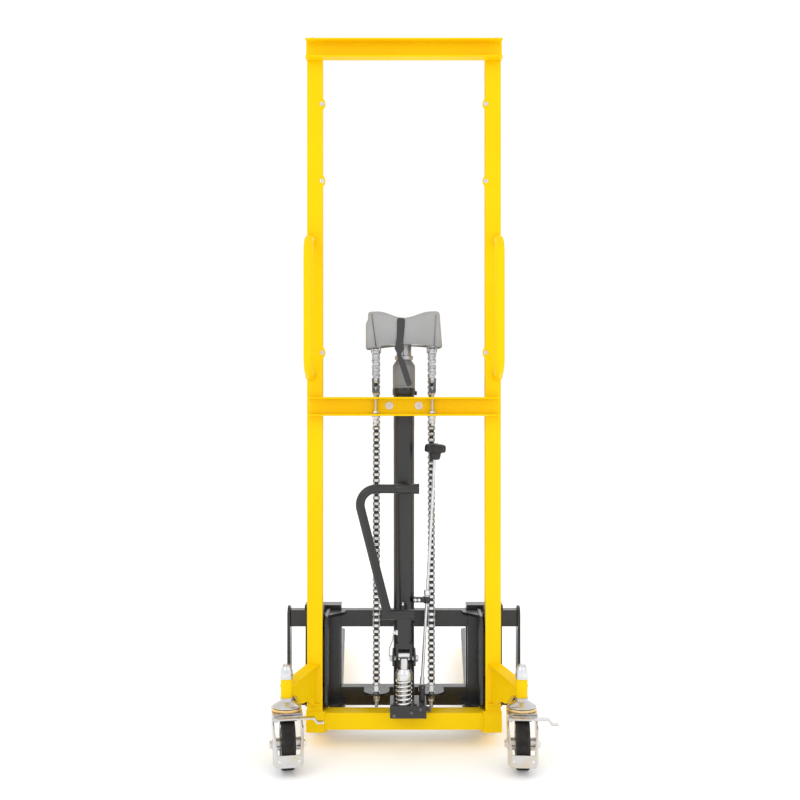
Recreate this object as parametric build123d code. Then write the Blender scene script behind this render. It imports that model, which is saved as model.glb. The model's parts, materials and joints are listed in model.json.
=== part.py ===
"""Manual hydraulic walkie stacker, built as separate sub-parts.

Frame: X to the right as the operator stands behind the mast, Y forward along the forks, Z up.
Origin: on the floor, on the mast's centre plane, under the rear faces of the uprights.
All sizes are in millimetres.
"""

from build123d import *
import os
from math import atan2, degrees, hypot

# Mast frame
MAST_HALF = 258            # centre plane to the outer face of an upright
CHANNEL_REACH = 41         # width of a channel's rear flange
FRONT_REACH = 37           # its front flange is a little narrower
CHANNEL_DEPTH = 90         # upright, front to back
WALL = 8                   # upright wall
MAST_TOP = 1878
CROSSBAR_WALL = 5
CROSSBAR_LIP = 35          # crossbar, front to back
CROSSBAR_TALL = 50
TOP_BAR_LOW = 1833
MID_BAR_LOW = 888
BASE_BAR = (52, 97)        # low and high face of the base crossbar
BASE_BAR_DEPTH = 52
TAB_HEIGHTS = (1056, 1513, 1718)
TAB_TALL = 40
TAB_REACH = 8
HANDLE_X = 248
HANDLE_RADIUS = 12.5
HANDLE_OUT = 78
HANDLE_ENDS = (996, 1357)
HANDLE_BEND = 42

# Straddle legs
LEG_X = (209, 261)          # the foot under the mast
SLIM_X = (222, 261)         # the leg forward of it
FOOT_DEPTH = 100
FOOT_TOP = 100
FOOT_BOTTOM = 44
LEG_TOP = 62
LEG_BOTTOM = 18
LEG_START = 118            # where the leg is down to its full slimness
LEG_FORK = 1100            # where the cheeks beside the load roller start
LEG_END = 1192
CHEEK = 6
LOAD_ROLLER_RADIUS = 37
LOAD_ROLLER_WIDTH = 26
LOAD_ROLLER_Y = 1150
LOAD_AXLE_RADIUS = 8

# Cylinder, ram and chains
CYL_Y = 30
CYL_RADIUS = 28
CYL_BORE = 23
CYL_FOOT = 130
CYL_TOP = 962
GLAND_RADIUS = 30
GLAND_TOP = 1037
ROD_RADIUS = 18
PISTON = (150, 175)        # low and high face of the piston at rest
FIT = 0.05                 # radial clearance of a running fit
PULLEY_X = 75
PULLEY_PITCH = 44          # radius of the chain's centre line on a pulley
PULLEY_Z = 1104
PULLEY_HALF = 14
CHAIN_WIDTH = 21
CHAIN_DEPTH = 12
AXLE_RADIUS = 10
ANCHOR_TOP = 985           # lower end of the rear chain runs
CHAIN_FOOT = 150           # lower end of the front chain runs
COVER_Y = (-34, 88)
COVER_WALL = 3

# Carriage and forks
BEAM_HALF = 316
BEAM_Y = (129, 165)
UPPER_BEAM = (299, 345)
LOWER_BEAM = (80, 131)
BEAM_WALL = 6
END_PLATE = 8
ROLLER_PLATE_X = (204, 212)
ROLLER_PLATE_Y = (10, 129)
ROLLER_PLATE_Z = (104, 350)
MAST_ROLLER_RADIUS = 36.5
MAST_ROLLER_X = (216, 246)
MAST_ROLLER_Y = 45
MAST_ROLLER_HEIGHTS = {"lower": 145, "upper": 338}
STUB_RADIUS = 12
FLANGE_X = (177, 204)       # flange of a roller plate, welded behind the beams
FLANGE_Z = (80, 344)
EAR_HALF = 35
EAR_Y = 57
EAR_Z = (125, 131)
FORK_X = (175, 277)
FORK_SHANK_Y = (165.4, 190)
FORK_LOW = 66
FORK_TIP_Y = 1060
FORK_TIP_X = (212, 267)     # the blade narrows towards its tip, most of all on its inner edge
FORK_TOP = 94              # load face of a fork blade

# Pump, lever and release
PUMP_X = (-37, 59)
PUMP_Y = (-50, 50)
PUMP_Z = (97, 130)
PLUNGER_Y = -33
PLUNGER_RADIUS = 10.5
PIVOT_Y = -15
PIVOT_Z = 246
PIN_RADIUS = 6
PUSH_ROLLER_Z = 260.5
PUSH_ROLLER_RADIUS = 8.5
SPRING_Z = (131, 196)
SPRING_RADIUS = 19.5
SPRING_WIRE = 2.5
SPRING_TURNS = 5
LEVER_Y = -40
SOCKET_Z = 367
HANDLE_TUBE = 12
GRIP_Z = 697
RELEASE_FOOT = (48, 10, 172)
RELEASE_TOP = (83, 10, 790)
RELEASE_ROD = 4
KNOB_LOBES = 8

# Casters
CASTER_X = 300
CASTER_Y = -115
HEADING = {-1: 9.8, 1: -3.8}   # how far each caster is turned at rest, in degrees
BRACKET_X = (224, 258)     # a bracket's width at the mast
WHEEL_RADIUS = 64
WHEEL_WIDTH = 35
TRAIL = 35
YOKE_TOP = 140
YOKE_HALF = 38
YOKE_PLATE = 4
TOE_HALF = 31              # half the width of the strip that guards the toes
TUBE_RADIUS = 15
KINGPIN_RADIUS = 10
TUBE_Z = (172, 219)
PEDAL_PIVOT = (-30, 131)   # X and Z from the caster's own axis
PEDAL_Y = (-66, -47)

SIDES = {"left": -1, "right": 1}


def block(x, y, z):
    """A box between low and high values along X, Y and Z."""
    size = [high - low for low, high in (x, y, z)]
    return Pos(x[0], y[0], z[0]) * Box(*size, align=(Align.MIN, Align.MIN, Align.MIN))


def span(side, x):
    """An X range given for the right side, on the side asked for."""
    return (x[0], x[1]) if side > 0 else (-x[1], -x[0])


def bar(axis, centre, radius, length):
    """A round bar centred on a point, along X, Y or Z."""
    turn = {"x": Rot(0, 90, 0), "y": Rot(90, 0, 0), "z": Rot(0, 0, 0)}[axis]
    return Pos(*centre) * turn * Cylinder(radius, length)


def upright_bar(x, y, low, high, radius):
    return bar("z", (x, y, (low + high) / 2), radius, high - low)


def cone_bar(x, y, low, high, radius_low, radius_high):
    return Pos(x, y, (low + high) / 2) * Cone(radius_low, radius_high, high - low)


def hexagon(x, y, low, high, radius):
    """A hexagonal nut or bolt head standing along Z."""
    return Pos(x, y, low) * extrude(RegularPolygon(radius, 6), high - low)


def hexagon_y(x, z, near, far, radius):
    """A hexagonal head standing along Y."""
    return Pos(x, far, z) * Rot(90, 0, 0) * extrude(RegularPolygon(radius, 6), far - near)


def side_plate(points, x):
    """A plate cut to an outline of (Y, Z) points, between two X values."""
    face = make_face(Polyline(*points, close=True))
    return extrude(Plane.YZ.offset(x[0]) * face, x[1] - x[0])


def wedge(near, far):
    """A straight-sided solid between two rectangles, each given as its Y, X range and Z range."""
    faces = []
    for y, x, z in (near, far):
        plane = Plane(origin=((x[0] + x[1]) / 2, y, (z[0] + z[1]) / 2), x_dir=(1, 0, 0), z_dir=(0, 1, 0))
        faces.append(plane * Rectangle(x[1] - x[0], z[1] - z[0]))
    return loft(faces)


def bent_tube(points, radius, bend):
    """A round tube along straight runs joined by bends."""
    path = FilletPolyline(*points, radius=bend)
    return sweep(Plane(path @ 0, z_dir=path % 0) * Circle(radius), path=path)


def mirrored(shape, side):
    return shape if side > 0 else mirror(shape, about=Plane.YZ)


def crossbar(half, low):
    """A channel lying across the mast with its lips to the rear."""
    body = block((-half, half), (-CROSSBAR_LIP, 0), (low, low + CROSSBAR_TALL))
    hollow_z = (low + CROSSBAR_WALL, low + CROSSBAR_TALL - CROSSBAR_WALL)
    return body - block((-half, half), (-CROSSBAR_LIP, -CROSSBAR_WALL), hollow_z)


def mast_upright():
    """A C channel open towards the centre, with the cover's screw tabs on its rear flange."""
    inner = MAST_HALF - CHANNEL_REACH
    body = block((inner, MAST_HALF), (0, CHANNEL_DEPTH), (FOOT_TOP, MAST_TOP))
    body -= block((inner, MAST_HALF - WALL), (WALL, CHANNEL_DEPTH - WALL), (FOOT_TOP, MAST_TOP))
    body -= block((inner, MAST_HALF - FRONT_REACH), (WALL, CHANNEL_DEPTH), (FOOT_TOP, MAST_TOP))
    for height in TAB_HEIGHTS:
        tab = bar("y", (inner + 12, 2, height), TAB_TALL / 2, 4)
        body += tab & block((inner - TAB_REACH, inner + 4), (0, 4), (height - TAB_TALL, height + TAB_TALL))
    return body


def leg():
    """A straddle leg: a tall foot under the mast, a slim bar forward, and cheeks beside the load roller."""
    nose = (LEG_TOP - LEG_BOTTOM) / 2
    middle = (LEG_TOP + LEG_BOTTOM) / 2
    outline = [
        (0, FOOT_BOTTOM),
        (0, FOOT_TOP),
        (FOOT_DEPTH, FOOT_TOP),
        (LEG_START, LEG_TOP),
        (LEG_START, LEG_BOTTOM),
    ]
    body = side_plate(outline, LEG_X)
    body += block(SLIM_X, (LEG_START, LEG_END - nose), (LEG_BOTTOM, LEG_TOP))
    body += bar("x", (sum(SLIM_X) / 2, LEG_END - nose, middle), nose, SLIM_X[1] - SLIM_X[0])
    gap = (SLIM_X[0] + CHEEK, SLIM_X[1] - CHEEK)
    body -= block(gap, (LEG_FORK, LEG_END + 1), (0, 2 * LOAD_ROLLER_RADIUS))
    body -= block(gap, (LEG_START + 10, LEG_FORK - 10), (0, LEG_TOP - CHEEK))
    axle = (sum(SLIM_X) / 2, LOAD_ROLLER_Y, LOAD_ROLLER_RADIUS)
    return body - bar("x", axle, LOAD_AXLE_RADIUS, 80)


def caster_bracket():
    """The welded arm that carries a caster: web, roof plate, foot plate and upright tube."""
    root = (BRACKET_X[0] + 17, 0)
    reach = hypot(CASTER_X - root[0], CASTER_Y)
    heading = degrees(atan2(CASTER_Y, CASTER_X - root[0]))
    outline = [
        (0, 118),
        (6, 118),
        (22, 138.5),
        (reach - 67, 138.5),
        (reach - 58, 144),
        (reach - 37, 167),
        (reach - 14, 173),
        (reach - 12, 198),
        (0, 223),
    ]
    web_face = make_face(Polyline(*outline, close=True))
    web = extrude(Plane.XZ * web_face, 6, both=True)
    body = Pos(root[0], root[1], 0) * Rot(0, 0, heading) * web
    body -= block((200, 300), (0, 40), (100, 240))
    roof_root = (0, BRACKET_X, (222, 228))
    roof_end = (CASTER_Y, (CASTER_X - 19, CASTER_X + 17), (198, 203))
    body += wedge(roof_root, roof_end)
    body += block(BRACKET_X, (-8, 0), (118, 123))
    body += upright_bar(CASTER_X, CASTER_Y, TUBE_Z[0], TUBE_Z[1], TUBE_RADIUS)
    body -= upright_bar(CASTER_X, CASTER_Y, 100, TUBE_Z[0], TUBE_RADIUS + 3)
    return body - upright_bar(CASTER_X, CASTER_Y, 100, 300, KINGPIN_RADIUS)


def push_handle():
    low, high = HANDLE_ENDS
    points = [
        (HANDLE_X, 0, low),
        (HANDLE_X, -HANDLE_OUT, low + 12),
        (HANDLE_X, -HANDLE_OUT, high - 12),
        (HANDLE_X, 0, high),
    ]
    tube = bent_tube(points, HANDLE_RADIUS, HANDLE_BEND)
    return tube - block((200, 300), (0, 40), (low - 60, high + 60))


def frame_fasteners():
    """Bolt heads, washers and tab screws of the mast frame."""
    pieces = []
    middle = MID_BAR_LOW + CROSSBAR_TALL / 2 + 2
    for side in SIDES.values():
        roof = TOP_BAR_LOW + CROSSBAR_TALL
        pieces.append(upright_bar(side * 243, -17, roof, roof + 2, 9))
        washer = bar("y", (side * 39, -CROSSBAR_WALL - 1, middle), 10.5, 2)
        pieces.append(washer + hexagon_y(side * 39, middle, -CROSSBAR_WALL - 8, -CROSSBAR_WALL - 2, 7))
        for height in TAB_HEIGHTS:
            x = side * (MAST_HALF - CHANNEL_REACH + 1)
            pieces.append(bar("y", (x, -1.5, height), 6, 3))
    return pieces


def cylinder_clamp():
    """The saddle that holds the cylinder against the middle crossbar."""
    low, high = MID_BAR_LOW + 10, MID_BAR_LOW + CROSSBAR_TALL - 10
    body = block((-52, 52), (0, 7), (low, high))
    body += upright_bar(0, CYL_Y, low, high, CYL_RADIUS + 6)
    body -= block((-60, 60), (-20, 0), (low, high))
    return body - upright_bar(0, CYL_Y, low - 1, high + 1, CYL_RADIUS)


def cylinder_tube():
    body = upright_bar(0, CYL_Y, CYL_FOOT, CYL_TOP, CYL_RADIUS)
    return body - upright_bar(0, CYL_Y, CYL_FOOT + 10, CYL_TOP + 1, CYL_BORE)


def cylinder_gland():
    body = upright_bar(0, CYL_Y, CYL_TOP, GLAND_TOP - 6, GLAND_RADIUS)
    body += upright_bar(0, CYL_Y, GLAND_TOP - 6, GLAND_TOP, GLAND_RADIUS - 4)
    return body - upright_bar(0, CYL_Y, CYL_TOP - 1, GLAND_TOP + 1, ROD_RADIUS + FIT)


def pump_block():
    """The pump's body with its side plug, valve boss, plunger boss and the lever's two lugs."""
    body = block(PUMP_X, PUMP_Y, PUMP_Z)
    body = fillet(body.edges().filter_by(Axis.Z), 4)
    body -= upright_bar(0, PLUNGER_Y, PUMP_Z[0] + 4, PUMP_Z[1] + 1, PLUNGER_RADIUS + FIT)
    body += bar("x", (PUMP_X[1] + 5.5, -8, 110), 7, 11)
    body += upright_bar(RELEASE_FOOT[0], RELEASE_FOOT[1], PUMP_Z[1], RELEASE_FOOT[2] - 4, 8)
    pieces = [body]
    for side in SIDES.values():
        lug = block(span(side, (25, 31)), (-27, CYL_Y), (228, 264))
        lug -= upright_bar(0, CYL_Y, 220, 270, CYL_RADIUS)
        lug -= bar("x", (0, PIVOT_Y, PIVOT_Z), PIN_RADIUS, 100)
        pieces.append(lug)
    return pieces


def lever_pivot_pin():
    body = bar("x", (0, PIVOT_Y, PIVOT_Z), PIN_RADIUS, 74)
    for side in SIDES.values():
        body += bar("x", (side * 34, PIVOT_Y, PIVOT_Z), 8, 6)
    return body


def pump_lever():
    """The lever with its cheeks, socket and bent handle."""
    cheek_points = [
        (PIVOT_Y + 9, 238),
        (PIVOT_Y - 4, 236),
        (-45, 254),
        (-50, 290),
        (-26, 290),
        (PIVOT_Y + 9, 256),
    ]
    body = block((-16, 14), (-50, -28), (282, 362))
    for side in SIDES.values():
        cheek = side_plate(cheek_points, span(side, (15, 22)))
        body += cheek - bar("x", (0, PIVOT_Y, PIVOT_Z), PIN_RADIUS + FIT, 100)
    body += block((-22, 22), (-50, -28), (278, 292))
    body += bar("x", (-16, LEVER_Y, SOCKET_Z), 13.5, 84)
    knuckle = (-44, LEVER_Y, 372)
    corner = (-127, LEVER_Y, GRIP_Z)
    body += bent_tube([knuckle, corner, (38, LEVER_Y, GRIP_Z)], HANDLE_TUBE, 42)
    body += bar("x", (38 - 30, LEVER_Y, GRIP_Z), 13.5, 60)
    body += upright_bar(-3, LEVER_Y, 378, 392, 3.5)
    return body


def pump_plunger():
    """The plunger with the bright cup that the return spring pushes up."""
    body = upright_bar(0, PLUNGER_Y, 122, PUSH_ROLLER_Z - PUSH_ROLLER_RADIUS - 0.3, PLUNGER_RADIUS)
    body += upright_bar(0, PLUNGER_Y, SPRING_Z[1] + 0.3, 212, 22)
    return body + cone_bar(0, PLUNGER_Y, 212, 224, 22, 16)


def plunger_spring():
    height = SPRING_Z[1] - SPRING_Z[0] - 2 * SPRING_WIRE
    path = Helix(height / SPRING_TURNS, height, SPRING_RADIUS)
    wire = sweep(Plane(path @ 0, z_dir=path % 0) * Circle(SPRING_WIRE), path=path)
    return Pos(0, PLUNGER_Y, SPRING_Z[0] + SPRING_WIRE) * wire


def chain_anchors_upper():
    """Threaded rods through the middle crossbar, each with nuts and the chain's end link."""
    pieces = []
    y = CYL_Y - PULLEY_PITCH
    for side in SIDES.values():
        x = side * PULLEY_X
        body = upright_bar(x, y, 862, 966, 4.5)
        body += hexagon(x, y, MID_BAR_LOW - 9, MID_BAR_LOW, 9.5)
        body += block((x - 7, x + 7), (y - 5, y + 5), (958, ANCHOR_TOP))
        pieces.append(body)
    return pieces


def mid_crossbar():
    """The middle crossbar with the holes that the chain anchors pass."""
    body = crossbar(253, MID_BAR_LOW)
    for side in SIDES.values():
        hole = upright_bar(side * PULLEY_X, CYL_Y - PULLEY_PITCH, MID_BAR_LOW - 1, MID_BAR_LOW + 60, 5)
        body -= hole
    return body


def chain_run(y, low, high):
    half = CHAIN_WIDTH / 2
    depth = CHAIN_DEPTH / 2
    runs = []
    for side in SIDES.values():
        x = side * PULLEY_X
        runs.append(block((x - half, x + half), (y - depth, y + depth), (low, high)))
    return runs


def chain_wraps():
    """The half turn of each chain over its pulley."""
    outer = PULLEY_PITCH + CHAIN_DEPTH / 2
    inner = PULLEY_PITCH - CHAIN_DEPTH / 2
    pieces = []
    for side in SIDES.values():
        centre = (side * PULLEY_X, CYL_Y, PULLEY_Z)
        ring = bar("x", centre, outer, CHAIN_WIDTH) - bar("x", centre, inner, CHAIN_WIDTH + 2)
        pieces.append(ring & block((-200, 200), (-60, 120), (PULLEY_Z, PULLEY_Z + 80)))
    return pieces


def pulley(side):
    """A chain pulley with two rims and a groove that the chain lies in."""
    centre = (side * PULLEY_X, CYL_Y, PULLEY_Z)
    body = bar("x", centre, PULLEY_PITCH + 4, 2 * PULLEY_HALF)
    groove = bar("x", centre, PULLEY_PITCH + 10, CHAIN_WIDTH + 1.2)
    groove -= bar("x", centre, PULLEY_PITCH - CHAIN_DEPTH / 2 - 0.4, CHAIN_WIDTH + 3)
    return body - groove - bar("x", centre, AXLE_RADIUS + FIT, 2 * PULLEY_HALF + 2)


def piston_rod():
    """Piston, rod, collar and the sleeve under the crosshead."""
    body = upright_bar(0, CYL_Y, PISTON[0], 1078, ROD_RADIUS)
    body += upright_bar(0, CYL_Y, PISTON[0], PISTON[1], CYL_BORE - FIT)
    body += upright_bar(0, CYL_Y, GLAND_TOP + 1, 1048, 25)
    return body + upright_bar(0, CYL_Y, 1048, 1078, 20)


def crosshead():
    body = block((-56, 56), (6, 54), (1078, 1128))
    body = fillet(body.edges().filter_by(Axis.X), 8)
    return body - bar("x", (0, CYL_Y, PULLEY_Z), AXLE_RADIUS, 140)


def crosshead_cover():
    """A thin hood over both pulleys, open below, with a dished top and a waisted outline."""
    def outline(inset):
        half_low, half_high, low, high = 102 - inset, 97 - inset, 1068, 1168 - inset
        dip = 1146 - inset
        edges = [
            Line((-half_high, high), (-80, high - 1)),
            ThreePointArc((-80, high - 1), (0, dip), (80, high - 1)),
            Line((80, high - 1), (half_high, high)),
            Line((half_high, high), (half_low, low)),
            Line((half_low, low), (60, low)),
            ThreePointArc((60, low), (0, low + 10), (-60, low)),
            Line((-60, low), (-half_low, low)),
            Line((-half_low, low), (-half_high, high)),
        ]
        return make_face(Wire(edges))

    def slab(inset, y):
        return extrude(Plane.XZ.offset(-y[1]) * outline(inset), y[1] - y[0])

    body = slab(0, COVER_Y)
    inner = slab(COVER_WALL, (COVER_Y[0] + COVER_WALL, COVER_Y[1] - COVER_WALL))
    inner += Pos(0, 0, -12) * inner
    return body - inner


def cover_strap():
    """A flat strap down the cover's rear face, with its tail hanging past the gland."""
    near = (-40, -37.5)
    runs = [((-8, 1146), (-15, 1064)), ((-15, 1064), (19, 968))]
    body = None
    for (x0, z0), (x1, z1) in runs:
        face = make_face(Polyline((x0 - 7, z0), (x0 + 7, z0), (x1 + 7, z1), (x1 - 7, z1), close=True))
        piece = extrude(Plane.XZ.offset(-near[1]) * face, near[1] - near[0])
        body = piece if body is None else body + piece
    return body + block((-15, -1), (-37.5, COVER_Y[0]), (1134, 1144))


def beam(z):
    body = block((-BEAM_HALF, BEAM_HALF), BEAM_Y, z)
    inside_y = (BEAM_Y[0] + BEAM_WALL, BEAM_Y[1] - BEAM_WALL)
    inside_z = (z[0] + BEAM_WALL, z[1] - BEAM_WALL)
    return body - block((-BEAM_HALF, BEAM_HALF), inside_y, inside_z)


def carriage_end_plates():
    """Plates that close both beams' ends, with rounded tops."""
    pieces = []
    for side in SIDES.values():
        x = span(side, (BEAM_HALF, BEAM_HALF + END_PLATE))
        centre = sum(BEAM_Y) / 2
        body = block(x, (centre - 25, centre + 25), (80, 330))
        body += bar("x", (sum(x) / 2, centre, 330), 25, END_PLATE)
        pieces.append(body)
    return pieces


def roller_plate(side):
    """A plate beside the mast with two stub axles and gussets to the beams."""
    body = block(ROLLER_PLATE_X, ROLLER_PLATE_Y, ROLLER_PLATE_Z)
    body = fillet(body.edges().filter_by(Axis.X).filter_by(lambda e: e.center().Y < 50), 18)
    body += block(FLANGE_X, (BEAM_Y[0] - 8, BEAM_Y[0]), FLANGE_Z)
    for height in MAST_ROLLER_HEIGHTS.values():
        stub = (ROLLER_PLATE_X[1], MAST_ROLLER_X[1] + 2)
        body += bar("x", (sum(stub) / 2, MAST_ROLLER_Y, height), STUB_RADIUS, stub[1] - stub[0])
        collar = (ROLLER_PLATE_X[1], MAST_ROLLER_X[0] - 0.5)
        body += bar("x", (sum(collar) / 2, MAST_ROLLER_Y, height), 18, collar[1] - collar[0])
    x, y = ROLLER_PLATE_X[0], BEAM_Y[0]
    face = make_face(Polyline((x, y), (x - 44, y), (x - 40, y - 26), (x, y - 70), close=True))
    body += Pos(0, 0, UPPER_BEAM[1] - 8) * extrude(face, 8)
    shelf = block((x - 44, x), (y - 66, y), (LOWER_BEAM[0] + 6, LOWER_BEAM[0] + 20))
    corner = [e for e in shelf.edges().filter_by(Axis.Z) if e.center().Y < y - 60 and e.center().X < x - 40]
    body += fillet(corner, 40)
    return mirrored(body, side)


def mast_roller(side, height):
    width = MAST_ROLLER_X[1] - MAST_ROLLER_X[0]
    centre = (side * sum(MAST_ROLLER_X) / 2, MAST_ROLLER_Y, height)
    body = bar("x", centre, MAST_ROLLER_RADIUS, width)
    body = chamfer(body.edges(), 2)
    return body - bar("x", centre, STUB_RADIUS + FIT, width + 2)


def chain_anchors_lower():
    """Half-round ears behind the lower beam, each with its threaded anchor."""
    pieces = []
    y = CYL_Y + PULLEY_PITCH
    for side in SIDES.values():
        x = side * PULLEY_X
        ear = block((x - EAR_HALF, x + EAR_HALF), (EAR_Y + EAR_HALF, BEAM_Y[0]), EAR_Z)
        ear += upright_bar(x, EAR_Y + EAR_HALF, EAR_Z[0], EAR_Z[1], EAR_HALF)
        ear += hexagon(x, y, EAR_Z[0] - 9, EAR_Z[0], 9)
        ear += upright_bar(x, y, 92, EAR_Z[0], 4.5)
        ear += block((x - 7, x + 7), (y - 5, y + 5), (EAR_Z[1], CHAIN_FOOT))
        pieces.append(ear & block((-200, 200), (0, BEAM_Y[0]), (80, 200)))
    return pieces


def fork(side):
    """A forged L-shaped fork with a hook over the upper beam and a tapered blade."""
    heel = FORK_SHANK_Y[1]
    outline = [
        (FORK_SHANK_Y[0], FORK_LOW),
        (heel + 260, FORK_LOW),
        (FORK_TIP_Y, FORK_TOP - 10),
        (FORK_TIP_Y, FORK_TOP),
        (heel + 18, FORK_TOP),
        (heel, FORK_TOP + 18),
        (heel, 357),
        (BEAM_Y[0] + 11, 357),
        (BEAM_Y[0] + 11, UPPER_BEAM[1] + 0.5),
        (FORK_SHANK_Y[0], UPPER_BEAM[1] + 0.5),
    ]
    body = side_plate(outline, FORK_X)
    plan = [
        (FORK_X[0], BEAM_Y[0]),
        (FORK_X[1], BEAM_Y[0]),
        (FORK_X[1], heel + 40),
        (FORK_TIP_X[1], FORK_TIP_Y),
        (FORK_TIP_X[0], FORK_TIP_Y),
        (FORK_X[0], heel + 40),
    ]
    body &= extrude(make_face(Polyline(*plan, close=True)), 400)
    tip = [edge for edge in body.edges().filter_by(Axis.Z) if edge.center().Y > FORK_TIP_Y - 1]
    return mirrored(fillet(tip, 20), side)


def load_roller(side):
    centre = (side * sum(SLIM_X) / 2, LOAD_ROLLER_Y, LOAD_ROLLER_RADIUS)
    body = chamfer(bar("x", centre, LOAD_ROLLER_RADIUS, LOAD_ROLLER_WIDTH).edges(), 3)
    return body - bar("x", centre, LOAD_AXLE_RADIUS + FIT, LOAD_ROLLER_WIDTH + 2)


def load_roller_axles():
    pieces = []
    for side in SIDES.values():
        centre = (side * sum(SLIM_X) / 2, LOAD_ROLLER_Y, LOAD_ROLLER_RADIUS)
        body = bar("x", centre, LOAD_AXLE_RADIUS, SLIM_X[1] - SLIM_X[0])
        for end in (-1, 1):
            head = (centre[0] + end * (SLIM_X[1] - SLIM_X[0] + 5) / 2, centre[1], centre[2])
            body += bar("x", head, 11, 5)
        pieces.append(body)
    return pieces


def caster_kingpins():
    """Kingpins fixed in the bracket tubes, with the tapered nut above and the collar below."""
    pieces = []
    for side in SIDES.values():
        x = side * CASTER_X
        body = upright_bar(x, CASTER_Y, 127, TUBE_Z[1], KINGPIN_RADIUS)
        body += upright_bar(x, CASTER_Y, TUBE_Z[1], TUBE_Z[1] + 12, 15)
        body += cone_bar(x, CASTER_Y, TUBE_Z[1] + 12, 255, 15, 10)
        body += upright_bar(x, CASTER_Y, 155, TUBE_Z[0], 16.5)
        body += upright_bar(x, CASTER_Y, 148.5, 151, 37)
        body += cone_bar(x, CASTER_Y, 151, 163, 37, 17)
        pieces.append(body)
    return pieces


def at_caster(shape, side):
    return Pos(side * CASTER_X, CASTER_Y, 0) * Rot(0, 0, HEADING[side]) * shape


def caster_yoke(side):
    """Top plate, bearing ring, two cheeks that close in to the strip that guards the toes, and axle."""
    outline = [
        (36, YOKE_TOP - 10),
        (-38, YOKE_TOP - 10),
        (-44, 122),
        (-74, 114),
        (-74, 27),
        (-62, 26),
        (-35, 46),
        (-14, 50),
        (30, 108),
    ]
    body = block((-YOKE_HALF, YOKE_HALF), (-38, 36), (YOKE_TOP - 10, YOKE_TOP))
    body += upright_bar(0, 0, YOKE_TOP, YOKE_TOP + 8, 31.5)
    for side_of in SIDES.values():
        outer = span(side_of, (YOKE_HALF - YOKE_PLATE, YOKE_HALF))
        body += side_plate(outline, outer)
        toe = span(side_of, (TOE_HALF - YOKE_PLATE, TOE_HALF))
        body += wedge((-74, outer, (27, 114)), (-102, toe, (26, 60)))
    body += block((-TOE_HALF, TOE_HALF), (-104, -101), (26, 57))
    body -= upright_bar(0, 0, 100, 200, KINGPIN_RADIUS + FIT)
    body += bar("x", (0, -TRAIL, WHEEL_RADIUS), 6, 2 * YOKE_HALF)
    head = Pos(-YOKE_HALF - 7, -TRAIL, WHEEL_RADIUS) * Rot(0, 90, 0) * extrude(RegularPolygon(10, 6), 7)
    body += head
    x, z = PEDAL_PIVOT
    body += block((x - 6, x + 6), (-46, -38), (z - 6, YOKE_TOP))
    body += bar("y", (x, -56, z), 2.5, 20)
    return at_caster(body, side)


def caster_tyre(side):
    centre = (0, -TRAIL, WHEEL_RADIUS)
    body = bar("x", centre, WHEEL_RADIUS, WHEEL_WIDTH)
    body = fillet(body.edges(), 6)
    return at_caster(body - bar("x", centre, WHEEL_RADIUS - 16, WHEEL_WIDTH + 2), side)


def caster_hub(side):
    """Rim, web and boss of the wheel."""
    centre = (0, -TRAIL, WHEEL_RADIUS)
    rim = WHEEL_RADIUS - 16
    body = bar("x", centre, rim, WHEEL_WIDTH) - bar("x", centre, rim - 6, WHEEL_WIDTH + 2)
    body += bar("x", centre, rim - 2, 8)
    body += bar("x", centre, 16, 2 * (YOKE_HALF - YOKE_PLATE) - 2)
    return at_caster(body - bar("x", centre, 6 + FIT, 100), side)


def brake_pedal(side):
    """A stamped arm across the wheel, its pivot barrel, its shoe and its foot pad."""
    x, z = PEDAL_PIVOT
    near, far = PEDAL_Y
    body = bar("y", (x, (near + far) / 2, z + 0.5), 5, far - near - 1)
    body += block((x, 66), (near, far), (z, z + 4))
    pad = [(62, z + 4), (66, z + 4), (74, 123), (88, 123), (88, 119), (71, 119), (62, z)]
    body += extrude(Plane.XZ.offset(-far) * make_face(Polyline(*pad, close=True)), far - near)
    body -= bar("y", (x, (near + far) / 2, z), 2.5 + FIT, 40)
    return at_caster(body, side)


def release_axis_point(share):
    return tuple(a + (b - a) * share for a, b in zip(RELEASE_FOOT, RELEASE_TOP))


def along_release(low, high, radius):
    """A round bar on the release rod's own axis, between two shares of its length."""
    start, end = Vector(*release_axis_point(low)), Vector(*release_axis_point(high))
    plane = Plane(origin=start, z_dir=end - start)
    return extrude(plane * Circle(radius), (end - start).length)


def release_rod():
    body = along_release(0, 0.97, RELEASE_ROD)
    body += along_release(0.0, 0.03, 6)
    return body + along_release(0.385, 0.405, 9)


def release_knob():
    """A lobed knob on its hub at the top of the release rod."""
    hub = along_release(0.97, 1.0, 15)
    top, foot = Vector(*RELEASE_TOP), Vector(*RELEASE_FOOT)
    plane = Plane(origin=top, z_dir=top - foot)
    disc = extrude(plane * Circle(25), 22)
    for lobe in PolarLocations(24, KNOB_LOBES):
        disc += plane.location * lobe * Pos(0, 0, 11) * Cylinder(5, 22)
    return hub + disc


def release_bracket():
    """A plate from the cylinder's side to the ring that guides the release rod."""
    x = release_axis_point(0.365)[0]
    body = block((24, x), (4, 16), (390, 404)) + upright_bar(x, RELEASE_FOOT[1], 388, 406, 9)
    body -= upright_bar(0, CYL_Y, 380, 410, CYL_RADIUS)
    body -= upright_bar(x, RELEASE_FOOT[1], 380, 410, RELEASE_ROD + 1)
    return body


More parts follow.
